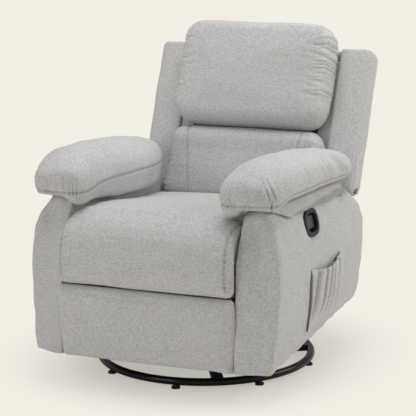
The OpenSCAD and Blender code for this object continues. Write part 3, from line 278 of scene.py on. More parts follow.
def felt_cloth():
    tree = Tree("felt_fibres")
    fibre = tree.noise(260, 6)
    patch = tree.noise(14, 3)
    tree.colour(tree.ramp(tree.math("MULTIPLY", fibre, patch), [
        (0.12, (0.13, 0.125, 0.12)), (0.30, (0.30, 0.29, 0.28)), (0.42, (0.42, 0.40, 0.38))]))
    tree.roughness(tree.spread(fibre, 0.9, 1.0))
    tree.bump(fibre, 0.0015, 0.7)
    return tree.material


def metal(name, dark, light, rough, metallic):
    """Sheet or tube steel: cloudy colour, brushed roughness and brighter worn edges."""
    tree = Tree(name)
    cloud = tree.noise(24, 4)
    brushed = tree.noise(160, 2, (1, 0.15, 1))
    worn = tree.nodes.new("ShaderNodeNewGeometry").outputs["Pointiness"]
    value = tree.math("ADD", tree.math("MULTIPLY", cloud, 0.7), tree.math("MULTIPLY", brushed, 0.3))
    base = tree.ramp(value, [(0.3, dark), (0.7, light)])
    edge = tree.ramp(worn, [(0.52, (0, 0, 0)), (0.60, (1, 1, 1))])
    lighter = tuple(min(1.0, c * 1.6 + 0.03) for c in light)
    tree.colour(tree.mix(edge, base, (*lighter, 1)))
    tree.roughness(tree.spread(value, rough * 0.75, min(1.0, rough * 1.3)))
    tree.bump(brushed, 0.00008, 0.4)
    tree.fixed(Metallic=metallic)
    return tree.material


def gloss_black():
    tree = Tree("gloss_black_tube")
    cloud = tree.noise(30, 3)
    peel = tree.noise(900, 2)
    tree.colour(tree.ramp(cloud, [(0.3, (0.003, 0.003, 0.0035)), (0.7, (0.006, 0.006, 0.0065))]))
    tree.roughness(tree.spread(cloud, 0.20, 0.30))
    tree.bump(peel, 0.00005, 0.4)
    tree.fixed(Specular_IOR_Level=0.25, Coat_Weight=0.15, Coat_Roughness=0.10)
    return tree.material


def plastic(name, dark, light, rough):
    tree = Tree(name)
    grain = tree.noise(1400, 3)
    cloud = tree.noise(40, 3)
    tree.colour(tree.ramp(cloud, [(0.3, dark), (0.7, light)]))
    tree.roughness(tree.spread(grain, rough - 0.06, rough + 0.08))
    tree.bump(grain, 0.00012, 0.5)
    return tree.material


def rubber():
    tree = Tree("black_rubber")
    dust = tree.noise(90, 4)
    tree.colour(tree.ramp(dust, [(0.4, (0.012, 0.012, 0.012)), (0.75, (0.04, 0.039, 0.037))]))
    tree.roughness(tree.spread(dust, 0.7, 0.92))
    tree.bump(dust, 0.0003, 0.5)
    return tree.material


def wood():
    tree = Tree("hardwood_grain")
    bend = tree.put("ShaderNodeTexWave", {
        "Vector": tree.place, "Scale": 22.0, "Distortion": 5.0, "Detail": 3.0, "Detail Scale": 1.4},
        wave_type="BANDS", bands_direction="Z").outputs["Fac"]
    fibre = tree.noise(120, 4, (0.2, 1, 1))
    value = tree.math("ADD", tree.math("MULTIPLY", bend, 0.6), tree.math("MULTIPLY", fibre, 0.4))
    tree.colour(tree.ramp(value, [
        (0.25, (0.36, 0.22, 0.10)), (0.55, (0.52, 0.35, 0.18)), (0.8, (0.60, 0.43, 0.24))]))
    tree.roughness(tree.spread(fibre, 0.5, 0.72))
    tree.bump(value, 0.0004, 0.5)
    return tree.material


def plywood():
    tree = Tree("plywood_layers")
    layer = tree.put("ShaderNodeTexWave", {"Vector": tree.place, "Scale": 95.0, "Distortion": 0.6},
                     wave_type="BANDS", bands_direction="X").outputs["Fac"]
    fibre = tree.noise(80, 4, (1, 0.15, 1))
    value = tree.math("ADD", tree.math("MULTIPLY", layer, 0.5), tree.math("MULTIPLY", fibre, 0.5))
    tree.colour(tree.ramp(value, [(0.25, (0.40, 0.27, 0.14)), (0.75, (0.63, 0.48, 0.30))]))
    tree.roughness(tree.spread(fibre, 0.55, 0.78))
    tree.bump(fibre, 0.0004, 0.5)
    return tree.material


def make_materials():
    return {
        "ring_black": gloss_black(),
        "steel_black": metal("black_steel", (0.018, 0.018, 0.020), (0.035, 0.035, 0.038), 0.42, 0.6),
        "glide_rubber": rubber(),
        "race_steel": metal("race_steel", (0.42, 0.42, 0.43), (0.55, 0.55, 0.56), 0.28, 1.0),
        "zinc_steel": metal("zinc_steel", (0.40, 0.41, 0.42), (0.56, 0.57, 0.58), 0.36, 1.0),
        "spring_steel": metal("spring_steel", (0.20, 0.20, 0.21), (0.33, 0.33, 0.34), 0.34, 1.0),
        "mechanism_steel": metal("mechanism_steel", (0.045, 0.046, 0.05), (0.075, 0.076, 0.08), 0.38, 0.8),
        "hard_wood": wood(),
        "plywood": plywood(),
        "felt": felt_cloth(),
        "webbing": webbing_cloth(),
        "linen": linen(),
        "bezel_plastic": plastic("bezel_plastic", (0.010, 0.010, 0.011), (0.018, 0.018, 0.019), 0.36),
        "cup_plastic": plastic("cup_plastic", (0.006, 0.006, 0.006), (0.010, 0.010, 0.010), 0.55),
        "lever_plastic": plastic("lever_plastic", (0.085, 0.086, 0.09), (0.12, 0.121, 0.125), 0.40),
    }


# Mesh arrays
def points_of(obj):
    co = np.empty(len(obj.data.vertices) * 3)
    obj.data.vertices.foreach_get("co", co)
    return co.reshape(-1, 3)


def normals_of(obj):
    normals = np.empty(len(obj.data.vertices) * 3)
    obj.data.vertex_normals.foreach_get("vector", normals)
    return normals.reshape(-1, 3)


def set_points(obj, co):
    obj.data.vertices.foreach_set("co", co.reshape(-1))
    obj.data.update()


def evaluated_mesh(obj):
    graph = bpy.context.evaluated_depsgraph_get()
    return bpy.data.meshes.new_from_object(obj.evaluated_get(graph))


def apply_modifiers(obj):
    mesh = evaluated_mesh(obj)
    obj.modifiers.clear()
    obj.data = mesh


def new_object(name, vertices, faces):
    mesh = bpy.data.meshes.new(name)
    mesh.from_pydata(vertices, [], faces)
    obj = bpy.data.objects.new(name, mesh)
    bpy.context.scene.collection.objects.link(obj)
    return obj


def copy_of(name, node):
    """A new object with the welded mesh of a CAD node."""
    mesh = frame["nodes"][node].data
    obj = new_object(name, [tuple(v.co) for v in mesh.vertices], [list(p.vertices) for p in mesh.polygons])
    weld = obj.modifiers.new("weld", "WELD")
    weld.merge_threshold = 0.00002
    apply_modifiers(obj)
    return obj


def soft_form(name, node, voxel=VOXEL, inset=START_INSET, smooth=3, reshape=None):
    """The start of a padded piece: the CAD solid, drawn in, with even quads and soft edges."""
    obj = copy_of(name, node)
    set_points(obj, points_of(obj) - normals_of(obj) * inset)
    if reshape:
        set_points(obj, reshape(points_of(obj)))
    remesh = obj.modifiers.new("remesh", "REMESH")
    remesh.mode = "VOXEL"
    remesh.voxel_size = voxel
    round_off = obj.modifiers.new("round", "SMOOTH")
    round_off.factor = 0.5
    round_off.iterations = smooth
    apply_modifiers(obj)
    return obj


# Pleats and lumps
def lumps(co, size, seed, waves=9):
    """Slow seeded unevenness between about -1 and 1, size metres from crest to crest."""
    source = np.random.RandomState(seed)
    ways = source.normal(size=(waves, 3))
    even = (2 * math.pi / size / np.linalg.norm(ways, axis=1))[:, None]
    ways *= even * source.uniform(0.7, 1.3, (waves, 1))
    phases = source.uniform(0, 2 * math.pi, waves)
    return np.sin(co @ ways.T + phases).sum(1) / math.sqrt(2 * waves)


def pleats(along, pitch, seed):
    """Uneven pleats: round ridges with sharp valleys, between -0.6 and 0.4."""
    source = np.random.RandomState(seed)
    a, b, c, d = source.uniform(0, 2 * math.pi, 4)
    t = along / pitch
    phase = t + 0.45 * np.sin(0.81 * t + a) + 0.25 * np.sin(2.1 * t + b)
    strong = 0.6 + 0.25 * np.sin(1.3 * t + c) + 0.15 * np.sin(2.9 * t + d)
    return strong * (np.abs(np.sin(math.pi * phase)) - 0.6)


def near(distance, reach):
    """1 at no distance, falling off smoothly within about the reach."""
    return np.exp(-(distance / reach) ** 2)


def ease(value, low, high):
    """0 below low, 1 above high, and smooth between."""
    t = np.clip((value - low) / (high - low), 0, 1)
    return t * t * (3 - 2 * t)


def shade(obj, amount):
    """Paints shade into the cloth's colour: keeps how deep each point lies in a seam or a fold, from 0 to 1,
    as painted shade.
    """
    mesh = obj.data
    layer = mesh.attributes.get(PAINTED_SHADE_ATTRIBUTE) or mesh.attributes.new(PAINTED_SHADE_ATTRIBUTE, "FLOAT", "POINT")
    before = np.empty(len(mesh.vertices))
    layer.data.foreach_get("value", before)
    layer.data.foreach_set("value", np.maximum(before, np.clip(amount, 0, 1)))


def valley_shade(ridges):
    """Share of painted shade in the sharp bottoms of pleats."""
    return ease(-ridges, 0.20, 0.58)


def on_back(co):
    """Across, depth and height in the back's own leaning frame."""
    y, z = co[:, 1] - BACK_ORIGIN.y, co[:, 2] - BACK_ORIGIN.z
    return co[:, 0], y * LEAN_COS - z * LEAN_SIN, y * LEAN_SIN + z * LEAN_COS


def off_back(depth, up):
    """Y and Z of a place in the back's leaning frame."""
    return BACK_ORIGIN.y + depth * LEAN_COS + up * LEAN_SIN, BACK_ORIGIN.z - depth * LEAN_SIN + up * LEAN_COS


# Cloth simulation of all padded pieces at once
def pin(obj, weight):
    """A vertex group with the weights, rounded to tenths."""
    group = obj.vertex_groups.new(name="pin")
    for step in range(1, PIN_STEPS + 1):
        low, high = (step - 0.5) / PIN_STEPS, (step + 0.5) / PIN_STEPS
        chosen = np.nonzero((weight > low) & (weight <= high))[0]
        if len(chosen):
            group.add([int(i) for i in chosen], step / PIN_STEPS, "REPLACE")


def set_up_cloth(obj, pressure, slack, pinned):
    pin(obj, np.clip(pinned, 0, 1))
    cloth = obj.modifiers.new("puff", "CLOTH")
    settings = cloth.settings
    settings.quality = 4
    settings.mass = 0.3
    settings.tension_stiffness = 12
    settings.compression_stiffness = 12
    settings.shear_stiffness = 5
    settings.bending_stiffness = 0.6
    settings.use_pressure = True
    settings.uniform_pressure_force = pressure
    settings.shrink_min = -slack
    settings.vertex_group_mass = "pin"
    settings.effector_weights.gravity = 0
    cloth.collision_settings.use_collision = False
    cloth.point_cache.frame_start = 1
    cloth.point_cache.frame_end = SIM_FRAMES


def puff(jobs):
    """Runs the cloth of every job, {object: (pressure, slack, cap, pinned)}, and caps how far points move."""
    start = {obj: points_of(obj) for obj in jobs}
    for obj, (pressure, slack, cap, pinned) in jobs.items():
        set_up_cloth(obj, pressure, slack, pinned)
    scene = bpy.context.scene
    scene.frame_start, scene.frame_end = 1, SIM_FRAMES
    for number in range(1, SIM_FRAMES + 1):
        scene.frame_set(number)
    for obj, (pressure, slack, cap, pinned) in jobs.items():
        mesh = evaluated_mesh(obj)
        moved = np.empty(len(mesh.vertices) * 3)
        mesh.vertices.foreach_get("co", moved)
        step = moved.reshape(-1, 3) - start[obj]
        outward = normals_of(obj)
        rise = (step * outward).sum(1)
        step = SLIDE_SHARE * (step - outward * rise[:, None])
        step += outward * np.maximum(rise, -MOST_INWARD)[:, None]
        length = np.linalg.norm(step, axis=1)
        step *= np.minimum(1, cap / np.maximum(length, 1e-9))[:, None]
        obj.modifiers.clear()
        obj.vertex_groups.clear()
        set_points(obj, start[obj] + step)
        bpy.data.meshes.remove(mesh)
    scene.frame_set(1)


def make_finer(obj, smooth):
    """Settles the simulated mesh and subdivides it once."""
    settle = obj.modifiers.new("settle", "SMOOTH")
    settle.factor, settle.iterations = 0.5, smooth
    finer = obj.modifiers.new("finer", "SUBSURF")
    finer.levels = finer.render_levels = 1
    apply_modifiers(obj)


def dress(obj, body, material, nodes):
    """Finish of a soft piece: material, smooth faces, and what it stands for."""
    obj.data.materials.clear()
    obj.data.materials.append(material)
    obj.data.shade_smooth()
    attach(obj, body)
    if nodes:
        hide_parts(*nodes)


# Padded pieces: where each is held, and its sewn shapes
def side_of(node):
    """Middle and half size of a node's box."""
    low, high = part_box(node)
    return (low + high) / 2, (high - low) / 2


def height_share(co, outer, bins=60):
    """Share of a pillow's thickness along Y, from 0 at its outer lower edge to 1 at its crown."""
    edges = np.linspace(co[:, 1].min(), co[:, 1].max(), bins + 1)
    index = np.clip(np.digitize(co[:, 1], edges) - 1, 0, bins - 1)
    low = np.array([co[(index == i) & outer, 2].min(initial=9.0) for i in range(bins)])
    high = np.array([co[index == i, 2].max(initial=0.0) for i in range(bins)])
    middle = (edges[1:] + edges[:-1]) / 2
    inner = slice(4, -4)
    low_at = np.interp(co[:, 1], middle[inner], low[inner])
    high_at = np.interp(co[:, 1], middle[inner], high[inner])
    return (co[:, 2] - low_at) / (high_at - low_at)


def round_the_rim(co, middle, half):
    """Distance along the rim of a long pillow, seen from above, metres."""
    x, y = co[:, 0] - middle.x, co[:, 1] - middle.y
    straight = half.y - half.x
    over = np.abs(y) - straight
    turned = np.arctan2(over, np.abs(x)) * half.x
    along = np.where(over > 0, straight + turned, np.abs(y))
    return np.where(y > 0, along, -along) + np.where(x > 0, 0.0, OTHER_SIDE)


def rim_of(across, up, radius):
    """Of a round-cornered cushion: distance in from the rim, distance along it, and nearness to the sides."""
    half_width = np.abs(across).max()
    middle, half_height = (up.max() + up.min()) / 2, (up.max() - up.min()) / 2
    over = np.abs(across) - half_width + radius
    above = np.abs(up - middle) - half_height + radius
    corner = (over > 0) & (above > 0)
    inward = radius - np.where(corner, np.hypot(over, above), np.maximum(over, above))
    straight = half_height - radius
    turned = straight + radius * np.arctan2(np.maximum(above, 0), np.maximum(over, 1e-6))
    on_top = straight + radius * math.pi / 2 - over
    along = np.where(corner, turned, np.where(over > above, np.abs(up - middle), on_top))
    on_side = np.where(corner, 1.0, ease(over - above, -0.03, 0.02))
    along = np.where(up > middle, along, -along) + np.where(across > 0, 0.0, OTHER_SIDE)
    return inward, along, on_side


def pillow_share(obj, node, side):
    """Height share of a pillow, measured on its outer part."""
    middle, half = side_of(node)
    co = points_of(obj)
    return height_share(co, side * (co[:, 0] - middle.x) > 0.25 * half.x)


def droop_front(obj, node, side):
    """Lets the front end of a pillow hang over the rounded front of the arm."""
    middle, half = side_of(node)
    co = points_of(obj)
    share = pillow_share(obj, node, side)
    front = ease(middle.y - half.y + 0.17 - co[:, 1], 0, 0.12)
    tip = ease(middle.y - half.y + 0.13 - co[:, 1], 0, 0.13)
    co[:, 2] -= PILLOW_DROOP * front * (1 - ease(share, 0.15, 0.85))
    outer = ease(side * (co[:, 0] - middle.x), -0.02, 0.08)
    co[:, 2] -= (1.5 + 0.8 * outer) * PILLOW_DROOP * tip * ease(share, 0.3, 1.0)
    co[:, 0] -= side * 0.5 * PILLOW_DROOP * tip * ease(side * (co[:, 0] - middle.x), 0.02, 0.09)
    set_points(obj, co)


def sew_pillow(obj, node, side):
    """Pleats that rise from the seam round the front, folds that fan over the outer rear side, and piping."""
    middle, half = side_of(node)
    share = pillow_share(obj, node, side)
    co, normal = points_of(obj), normals_of(obj)
    along = round_the_rim(co, middle, half)
    seam = (share - PILLOW_SEAM) * PILLOW_THICK
    above = np.where(seam > 0, near(seam, 0.040), near(seam, 0.012))
    front = ease(middle.y - half.y * 0.55 - co[:, 1], 0, 0.10)
    rear = ease(co[:, 1] - middle.y + half.y * 0.15, 0, 0.25)
    outer = ease(side * (co[:, 0] - middle.x), -0.01, 0.06)
    short, corner = pleats(along, 0.018, 11 + side), pleats(along + 0.4 * seam, 0.034, 21 + side)
    fan = pleats(along + 0.7 * seam, 0.030, 31 + side)
    short_at = above * (0.20 + 0.80 * np.maximum(front, 0.3 * outer))
    corner_at = near(seam - 0.030, 0.040) * front * outer
    fan_at = near(seam - 0.045, 0.045) * outer * rear
    drop = 0.0046 * short * short_at + 0.0055 * corner * corner_at + 0.0060 * fan * fan_at
    drop -= PIPING_GROOVE * near(seam, SEAM_REACH)
    drop += UNEVEN * lumps(co, 0.14, 7 + side)
    set_points(obj, co + normal * drop[:, None])
    # Painted shade in the bottoms of the pleats and folds, and along the seam
    shade(obj, 0.30 * valley_shade(short) * short_at + 0.40 * valley_shade(corner) * corner_at
          + 0.34 * valley_shade(fan) * fan_at + 0.30 * near(seam, 0.0035))


def pillow_pins(obj, node, side):
    """Holds a pillow at its seam and below it."""
    share = pillow_share(obj, node, side)
    return np.maximum(near(share - PILLOW_SEAM, 0.05), 1 - ease(share, 0.02, 0.12))


def sew_arm(obj, side):
    """Squares the front's inner edge, and sews the seams between the front, side and top panels."""
    co, normal = points_of(obj), normals_of(obj)
    inner, outer = np.abs(co[:, 0]).min(), np.abs(co[:, 0]).max()
    across = (np.abs(co[:, 0]) - inner) / (outer - inner)
    front = ease(-normal[:, 1], 0.15, 0.7) * (1 - ease(co[:, 1], -0.44, -0.38))
    below_nose = 1 - ease(co[:, 2], 0.42, 0.56)
    co[:, 1] -= ARM_FRONT_SQUARE * front * (1 - ease(across, 0.0, 0.9)) * below_nose
    nose = (1 - ease(co[:, 1], -0.46, -0.34)) * ease(co[:, 2], 0.46, 0.60)
    co[:, 2] -= ARM_NOSE_DROP * nose
    co[:, 0] += side * ARM_BULGE * ease(side * normal[:, 0], 0.3, 0.9) * ease(co[:, 2], 0.15, 0.40)
    turn = np.degrees(np.arctan2(side * normal[:, 0], -normal[:, 1]))
    level = 1 - ease(np.abs(normal[:, 2]), 0.45, 0.75)
    drop = -SEAM_GROOVE * near(turn - 45, 14) * level
    off_frame = 1 - ease(-side * normal[:, 0], 0.5, 0.8)
    drop += 0.0020 * lumps(co, 0.22, 41 + side) * ease(side * normal[:, 0], 0.3, 0.8)
    drop += 0.0012 * lumps(co, 0.09, 43 + side) * off_frame
    set_points(obj, co + normal * drop[:, None])


def sew_seat(obj):
    """Short gathers along both side edges of the top and front, and the seam beside them."""
    co, normal = points_of(obj), normals_of(obj)
    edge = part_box("seat_cushion")[1].x - np.abs(co[:, 0])
    upper = ease(normal[:, 2] - 0.6 * normal[:, 1], -0.1, 0.4)
    along = co[:, 1] - co[:, 2] + np.where(co[:, 0] > 0, 0.0, 1.9)
    short, long = pleats(along + 0.3 * edge, 0.017, 51), pleats(along - 0.4 * edge, 0.043, 52)
    short_at, long_at = near(edge - 0.022, 0.026) * upper, near(edge - 0.040, 0.045) * upper
    seam = near(edge - 0.012, SEAM_REACH) * upper
    drop = 0.0034 * short * short_at + 0.0022 * long * long_at - PIPING_GROOVE * seam
    drop += UNEVEN * lumps(co, 0.22, 53)
    set_points(obj, co + normal * drop[:, None])
    # Painted shade in the bottoms of the gathers, and along the seam
    shade(obj, 0.26 * valley_shade(short) * short_at + 0.16 * valley_shade(long) * long_at + 0.22 * seam)


def square_up(obj, reach, radius, wider):
    """Fills out the front rim of a back cushion, so that it turns to the side within reach of its edge."""
    co = points_of(obj)
    x, depth, up = on_back(co)
    inward = rim_of(x, up, radius)[0]
    front, middle = depth.min(), 0.45 * depth.max() + 0.55 * depth.min()
    full = (1 - (1 - np.clip(inward / reach, 0, 1)) ** RIM_POWER) ** (1 / RIM_POWER)
    crown = 0.86 + 0.14 * ease(inward, 0.0, 0.14)
    target = middle + (front - middle) * full * crown
    before = ease(middle - depth, 0.0, 0.02)
    shift = np.minimum(target - depth, 0) * before
    co[:, 1] += shift * LEAN_COS
    co[:, 2] -= shift * LEAN_SIN
    co[:, 0] += np.sign(x) * wider * ease(np.abs(x), 0.1, 0.25)
    set_points(obj, co)


def sew_head(obj):
    """Gathers along both side edges and round the corners; the front and the lower edge stay smooth."""
    co, normal = points_of(obj), normals_of(obj)
    x, _, up = on_back(co)
    inward, along, on_side = rim_of(x, up, HEAD_CORNER)
    strong = np.where(x > 0, 1.0, 0.6)
    share = strong * (0.10 + 0.90 * on_side * ease(up, up.min() + 0.03, up.min() + 0.14))
    short, long = pleats(along + 0.15 * inward, 0.017, 61), pleats(along - 0.2 * inward, 0.036, 62)
    short_at, long_at = near(inward - 0.014, 0.034) * share, near(inward - 0.030, 0.050) * share
    drop = 0.0046 * short * short_at + 0.0032 * long * long_at + UNEVEN * lumps(co, 0.19, 63)
    set_points(obj, co + normal * drop[:, None])
    # Painted shade in the bottoms of the gathers
    shade(obj, 0.26 * valley_shade(short) * short_at + 0.22 * valley_shade(long) * long_at)


def spread_lumbar(obj):
    """Wider towards its foot, in front of the wings, and fuller where it meets the head cushion."""
    co = points_of(obj)
    x, depth, up = on_back(co)
    foot = 1 - ease(up, up.min() + 0.02, up.max() - 0.05)
    front = ease(-depth, -0.015, 0.025)
    rise = 0.006 * ease(up, up.max() - 0.050, up.max() - 0.004)
    swell = 0.012 * near(up - up.max() + 0.035, 0.040) * front
    co[:, 0] += np.sign(x) * 0.016 * ease(np.abs(x), 0.12, 0.25) * ease(-depth, 0.0, 0.03) * foot
    co[:, 1] += rise * LEAN_SIN - swell * LEAN_COS
    co[:, 2] += rise * LEAN_COS + swell * LEAN_SIN
    set_points(obj, co)


def sew_lumbar(obj):
    """Two faint slanting seams, with soft gathers beside them and at the outer edges."""
    co, normal = points_of(obj), normals_of(obj)
    x, depth, up = on_back(co)
    share = (up - up.min()) / (up.max() - up.min())
    line = 0.205 - 0.035 * (1 - share) ** 1.5
    off = np.abs(x) - line
    facing = 1 - ease(depth, -0.02, 0.0)
    drop = -SEAM_GROOVE * near(off, SEAM_REACH) * facing
    drop += 0.0014 * pleats(up, 0.026, 71) * near(off - 0.015, 0.025) * facing
    edge = x.max() - np.abs(x)
    drop += 0.0030 * pleats(up, 0.020, 72) * near(edge - 0.012, 0.026)
    drop += UNEVEN * lumps(co, 0.18, 73)
    set_points(obj, co + normal * drop[:, None])
    # Painted shade along the two seams
    shade(obj, 0.20 * near(off, 0.003) * facing)


def sew_wing(obj, side):
    """The seam between the front and the outer side, and soft unevenness."""
    co, normal = points_of(obj), normals_of(obj)
    x, depth, up = on_back(co)
    turn = np.degrees(np.arctan2(side * normal[:, 0], -normal[:, 1]))
    level = 1 - ease(np.abs(normal[:, 2]), 0.6, 0.85)
    drop = -SEAM_GROOVE * near(turn - 45, 9) * level
    drop += 0.0018 * lumps(co, 0.15, 81 + side)
    facing = 1 - ease(depth, 0.0, 0.025)
    drop += 0.0020 * pleats(x * side, 0.024, 83 + side) * near(up.max() - up - 0.012, 0.028) * facing
    set_points(obj, co + normal * drop[:, None])


def widen_front(obj, wider, start, full):
    """Spreads the part that stands in front of the arms, from start forward to full."""
    co = points_of(obj)
    outward = np.sign(co[:, 0]) * ease(np.abs(co[:, 0]), 0.15, 0.27)
    co[:, 0] += wider * outward * ease(-co[:, 1], -start, -full)
    set_points(obj, co)


def fill_footrest(obj):
    """A fuller lower end and square corners, so that the pad hangs upright."""
    low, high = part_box("footrest_pad")
    co = points_of(obj)
    share = (high.z - co[:, 2]) / (high.z - low.z)
    depth = (high.y - co[:, 1]) / (high.y - low.y)
    co[:, 1] -= FOOTREST_FULL * share ** 1.5 * ease(depth, 0.2, 0.6)
    co[:, 2] -= FOOTREST_LOWER * ease(share, 0.6, 1.0)
    co[:, 2] += FOOTREST_RAISED * (1 - ease(share, 0.0, 0.15))
    set_points(obj, co)


def sew_footrest(obj):
    """Soft unevenness, and faint gathers beside both side edges."""
    co, normal = points_of(obj), normals_of(obj)
    edge = np.abs(co[:, 0]) - (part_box("footrest_pad")[1].x - 0.018)
    facing = ease(-normal[:, 1], 0.1, 0.5)
    drop = 0.0018 * lumps(co, 0.17, 91) * facing
    drop += 0.0022 * pleats(co[:, 2], 0.030, 92) * near(edge, 0.020) * facing
    set_points(obj, co + normal * drop[:, None])


def sew_rear(obj):
    """Soft unevenness, gathers at the side edges, and the seam of the panel."""
    co, normal = points_of(obj), normals_of(obj)
    x, depth, up = on_back(co)
    facing = ease(depth, depth.min() + 0.004, depth.max() - 0.002)
    drop = 0.0022 * lumps(co, 0.19, 95) * facing
    edge = x.max() - np.abs(x)
    drop += 0.0020 * pleats(up, 0.034, 96) * near(edge - 0.008, 0.020)
    drop -= 0.0030 * near(edge - 0.030, 0.005) * facing
    set_points(obj, co + normal * drop[:, None])


def close_inner_face(co):
    """Draws the cloth flat over the wooden frame that is let into the arm's inner face."""
    side = np.sign(co[:, 0])
    inner = np.abs(co[:, 0]).min()
    covered = np.abs(co[:, 0]) < inner + ARM_FRAME_DEEP
    co[covered, 0] = (side * (inner - ARM_CLOTH_PROUD))[covered]
    return co


def make_forms():
    """The start of every padded piece, by the name of its node."""
    def form(name, **how):
        return soft_form(name + "_cover", name, **how)

    forms = {name: form(name) for name in ("seat_cushion", "head_cushion", "lumbar_cushion", "footrest_pad")}
    for name in ("arm_pillow_left", "arm_pillow_right"):
        forms[name] = form(name, inset=PILLOW_INSET, smooth=4)
    for name in ("arm_panel_left", "arm_panel_right"):
        forms[name] = form(name, voxel=PANEL_VOXEL, inset=0.0, reshape=close_inner_face)
    for name in ("wing_left", "wing_right", "rear_cover"):
        forms[name] = form(name, voxel=THIN_VOXEL, inset=0.0)
    return forms


def puff_all(forms):
    """Simulates the cushions and pillows, each held where it is fastened to the chair."""
    def back_pins(obj):
        depth = on_back(points_of(obj))[1]
        return ease(depth, depth.max() - 0.012, depth.max() - 0.004)

    seat, head, lumbar, pad = (forms[name] for name in (
        "seat_cushion", "head_cushion", "lumbar_cushion", "footrest_pad"))
    seat_z, pad_y = points_of(seat)[:, 2], points_of(pad)[:, 1]
    # Pressure, slack, the farthest that a point may move, and how firmly each point is held
    jobs = {
        seat: (4.0, 0.002, 0.008, 1 - ease(seat_z, seat_z.min() + 0.006, seat_z.min() + 0.02)),
        head: (4.0, 0.004, 0.008, back_pins(head)),
        lumbar: (3.5, 0.004, 0.008, back_pins(lumbar)),
        pad: (3.0, 0.0, 0.005, ease(pad_y, pad_y.max() - 0.01, pad_y.max())),
    }
    for side, name in SIDES:
        pillow = forms["arm_pillow_" + name]
        jobs[pillow] = (4.0, 0.006, 0.010, pillow_pins(pillow, "arm_pillow_" + name, side))
    puff(jobs)


def make_padded(cloth):
    forms = make_forms()
    puff_all(forms)
    square_up(forms["head_cushion"], HEAD_REACH, HEAD_CORNER, HEAD_WIDER)
    square_up(forms["lumbar_cushion"], LUMBAR_REACH, LUMBAR_CORNER, LUMBAR_WIDER)
    spread_lumbar(forms["lumbar_cushion"])
    fill_footrest(forms["footrest_pad"])
    widen_front(forms["seat_cushion"], wider=0.010, start=-0.470, full=-0.500)
    widen_front(forms["footrest_pad"], wider=0.012, start=-0.455, full=-0.490)
    for side, name in SIDES:
        droop_front(forms["arm_pillow_" + name], "arm_pillow_" + name, side)
    for name, obj in forms.items():
        make_finer(obj, smooth=SETTLE.get(name, SETTLE_MOST))
    sew_seat(forms["seat_cushion"])
    sew_head(forms["head_cushion"])
    sew_lumbar(forms["lumbar_cushion"])
    sew_footrest(forms["footrest_pad"])
    sew_rear(forms["rear_cover"])
    for side, name in SIDES:
        sew_pillow(forms["arm_pillow_" + name], "arm_pillow_" + name, side)
        sew_arm(forms["arm_panel_" + name], side)
        sew_wing(forms["wing_" + name], side)
    for name, (body, fill) in PADDED.items():
        dress(forms[name], body, cloth, [name])


# Sheets: the flaps under the pillows, the side pocket, and the linings of the back frame
def fine_copy(name, node, levels):
    obj = copy_of(name, node)
    finer = obj.modifiers.new("finer", "SUBSURF")
    finer.subdivision_type = "SIMPLE"
    finer.levels = finer.render_levels = levels
    apply_modifiers(obj)
    return obj


def make_flap(side, name, cloth):
    """A narrow strip that hangs from under a pillow and curls outward at its lower edge."""
    node = "arm_flap_" + name
    low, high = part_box(node)
    obj = fine_copy(node + "_cloth", node, 3)
    co = points_of(obj)
    hang = ease(high.z - co[:, 2], 0.0, 0.045)
    co[:, 0] += side * (0.0024 * hang * (1 + np.sin(co[:, 1] * 38 + side)) + 0.0060 * hang)
    co[:, 2] += 0.0015 * np.sin(co[:, 1] * 52 + 2 * side) * hang
    set_points(obj, co)
    # Painted shadow along the flap's lower edge
    shade(obj, 0.35 * ease(hang, 0.90, 1.0))
    dress(obj, "chassis", cloth, [node])


def make_pocket(cloth):
    """A patch pocket whose upper part stands off in folds below a gathered mouth."""
    low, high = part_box("side_pocket")
    size = high - low
    obj = fine_copy("side_pocket_cloth", "side_pocket", 3)
    co = points_of(obj)
    s = (co[:, 1] - low.y) / size.y
    w = (co[:, 2] - low.z) / size.z
    slack = np.clip(4 * s * (1 - s), 0, 1)
    fan = (s - 0.5) / (1 + 0.30 * (1 - w)) * size.y
    trough = 1 - np.abs(np.sin(math.pi * (fan / POCKET_FOLD + 0.30 * np.sin(31 * fan))))
    trough = ease(trough, 0.25, 1.0)
    hang = ease(w, 0.0, 0.45) * (1 - 0.75 * ease(w, 0.88, 0.98)) * slack ** 0.35
    gathers = pleats(co[:, 1], 0.012, 6)
    mouth = near(w - (1 - 0.09 * slack), 0.05)
    co[:, 0] += POCKET_FULL * (1 - trough) * hang + 0.0024 * gathers * mouth * slack ** 0.3
    co[:, 0] += 0.0035 * near(s, 0.03)
    # Painted shade in the fold troughs, in the gathers at the mouth, and along the front edge
    front_edge_shade = near(s, 0.012) * (w < 0.97)
    shade(obj, 0.50 * trough * hang + 0.20 * valley_shade(gathers) * mouth + 0.75 * front_edge_shade)
    set_points(obj, co)
    dress(obj, "chassis", cloth, ["side_pocket"])


def make_lining(name, profile, start, end, cloth):
    """A strip of cloth over the back's wooden frame: a profile of depths and heights, drawn along X."""
    vertices = [(start + (end - start) * i / LINING_COLUMNS, *off_back(depth, up))
                for i in range(LINING_COLUMNS + 1) for depth, up in profile]
    n = len(profile)
    faces = [(i * n + k, i * n + k + 1, (i + 1) * n + k + 1, (i + 1) * n + k)
             for i in range(LINING_COLUMNS) for k in range(n - 1)]
    obj = new_object(name, vertices, faces)
    thick = obj.modifiers.new("thick", "SOLIDIFY")
    thick.thickness, thick.offset = LINING_THICK, 0
    apply_modifiers(obj)
    dress(obj, "back", cloth, [])


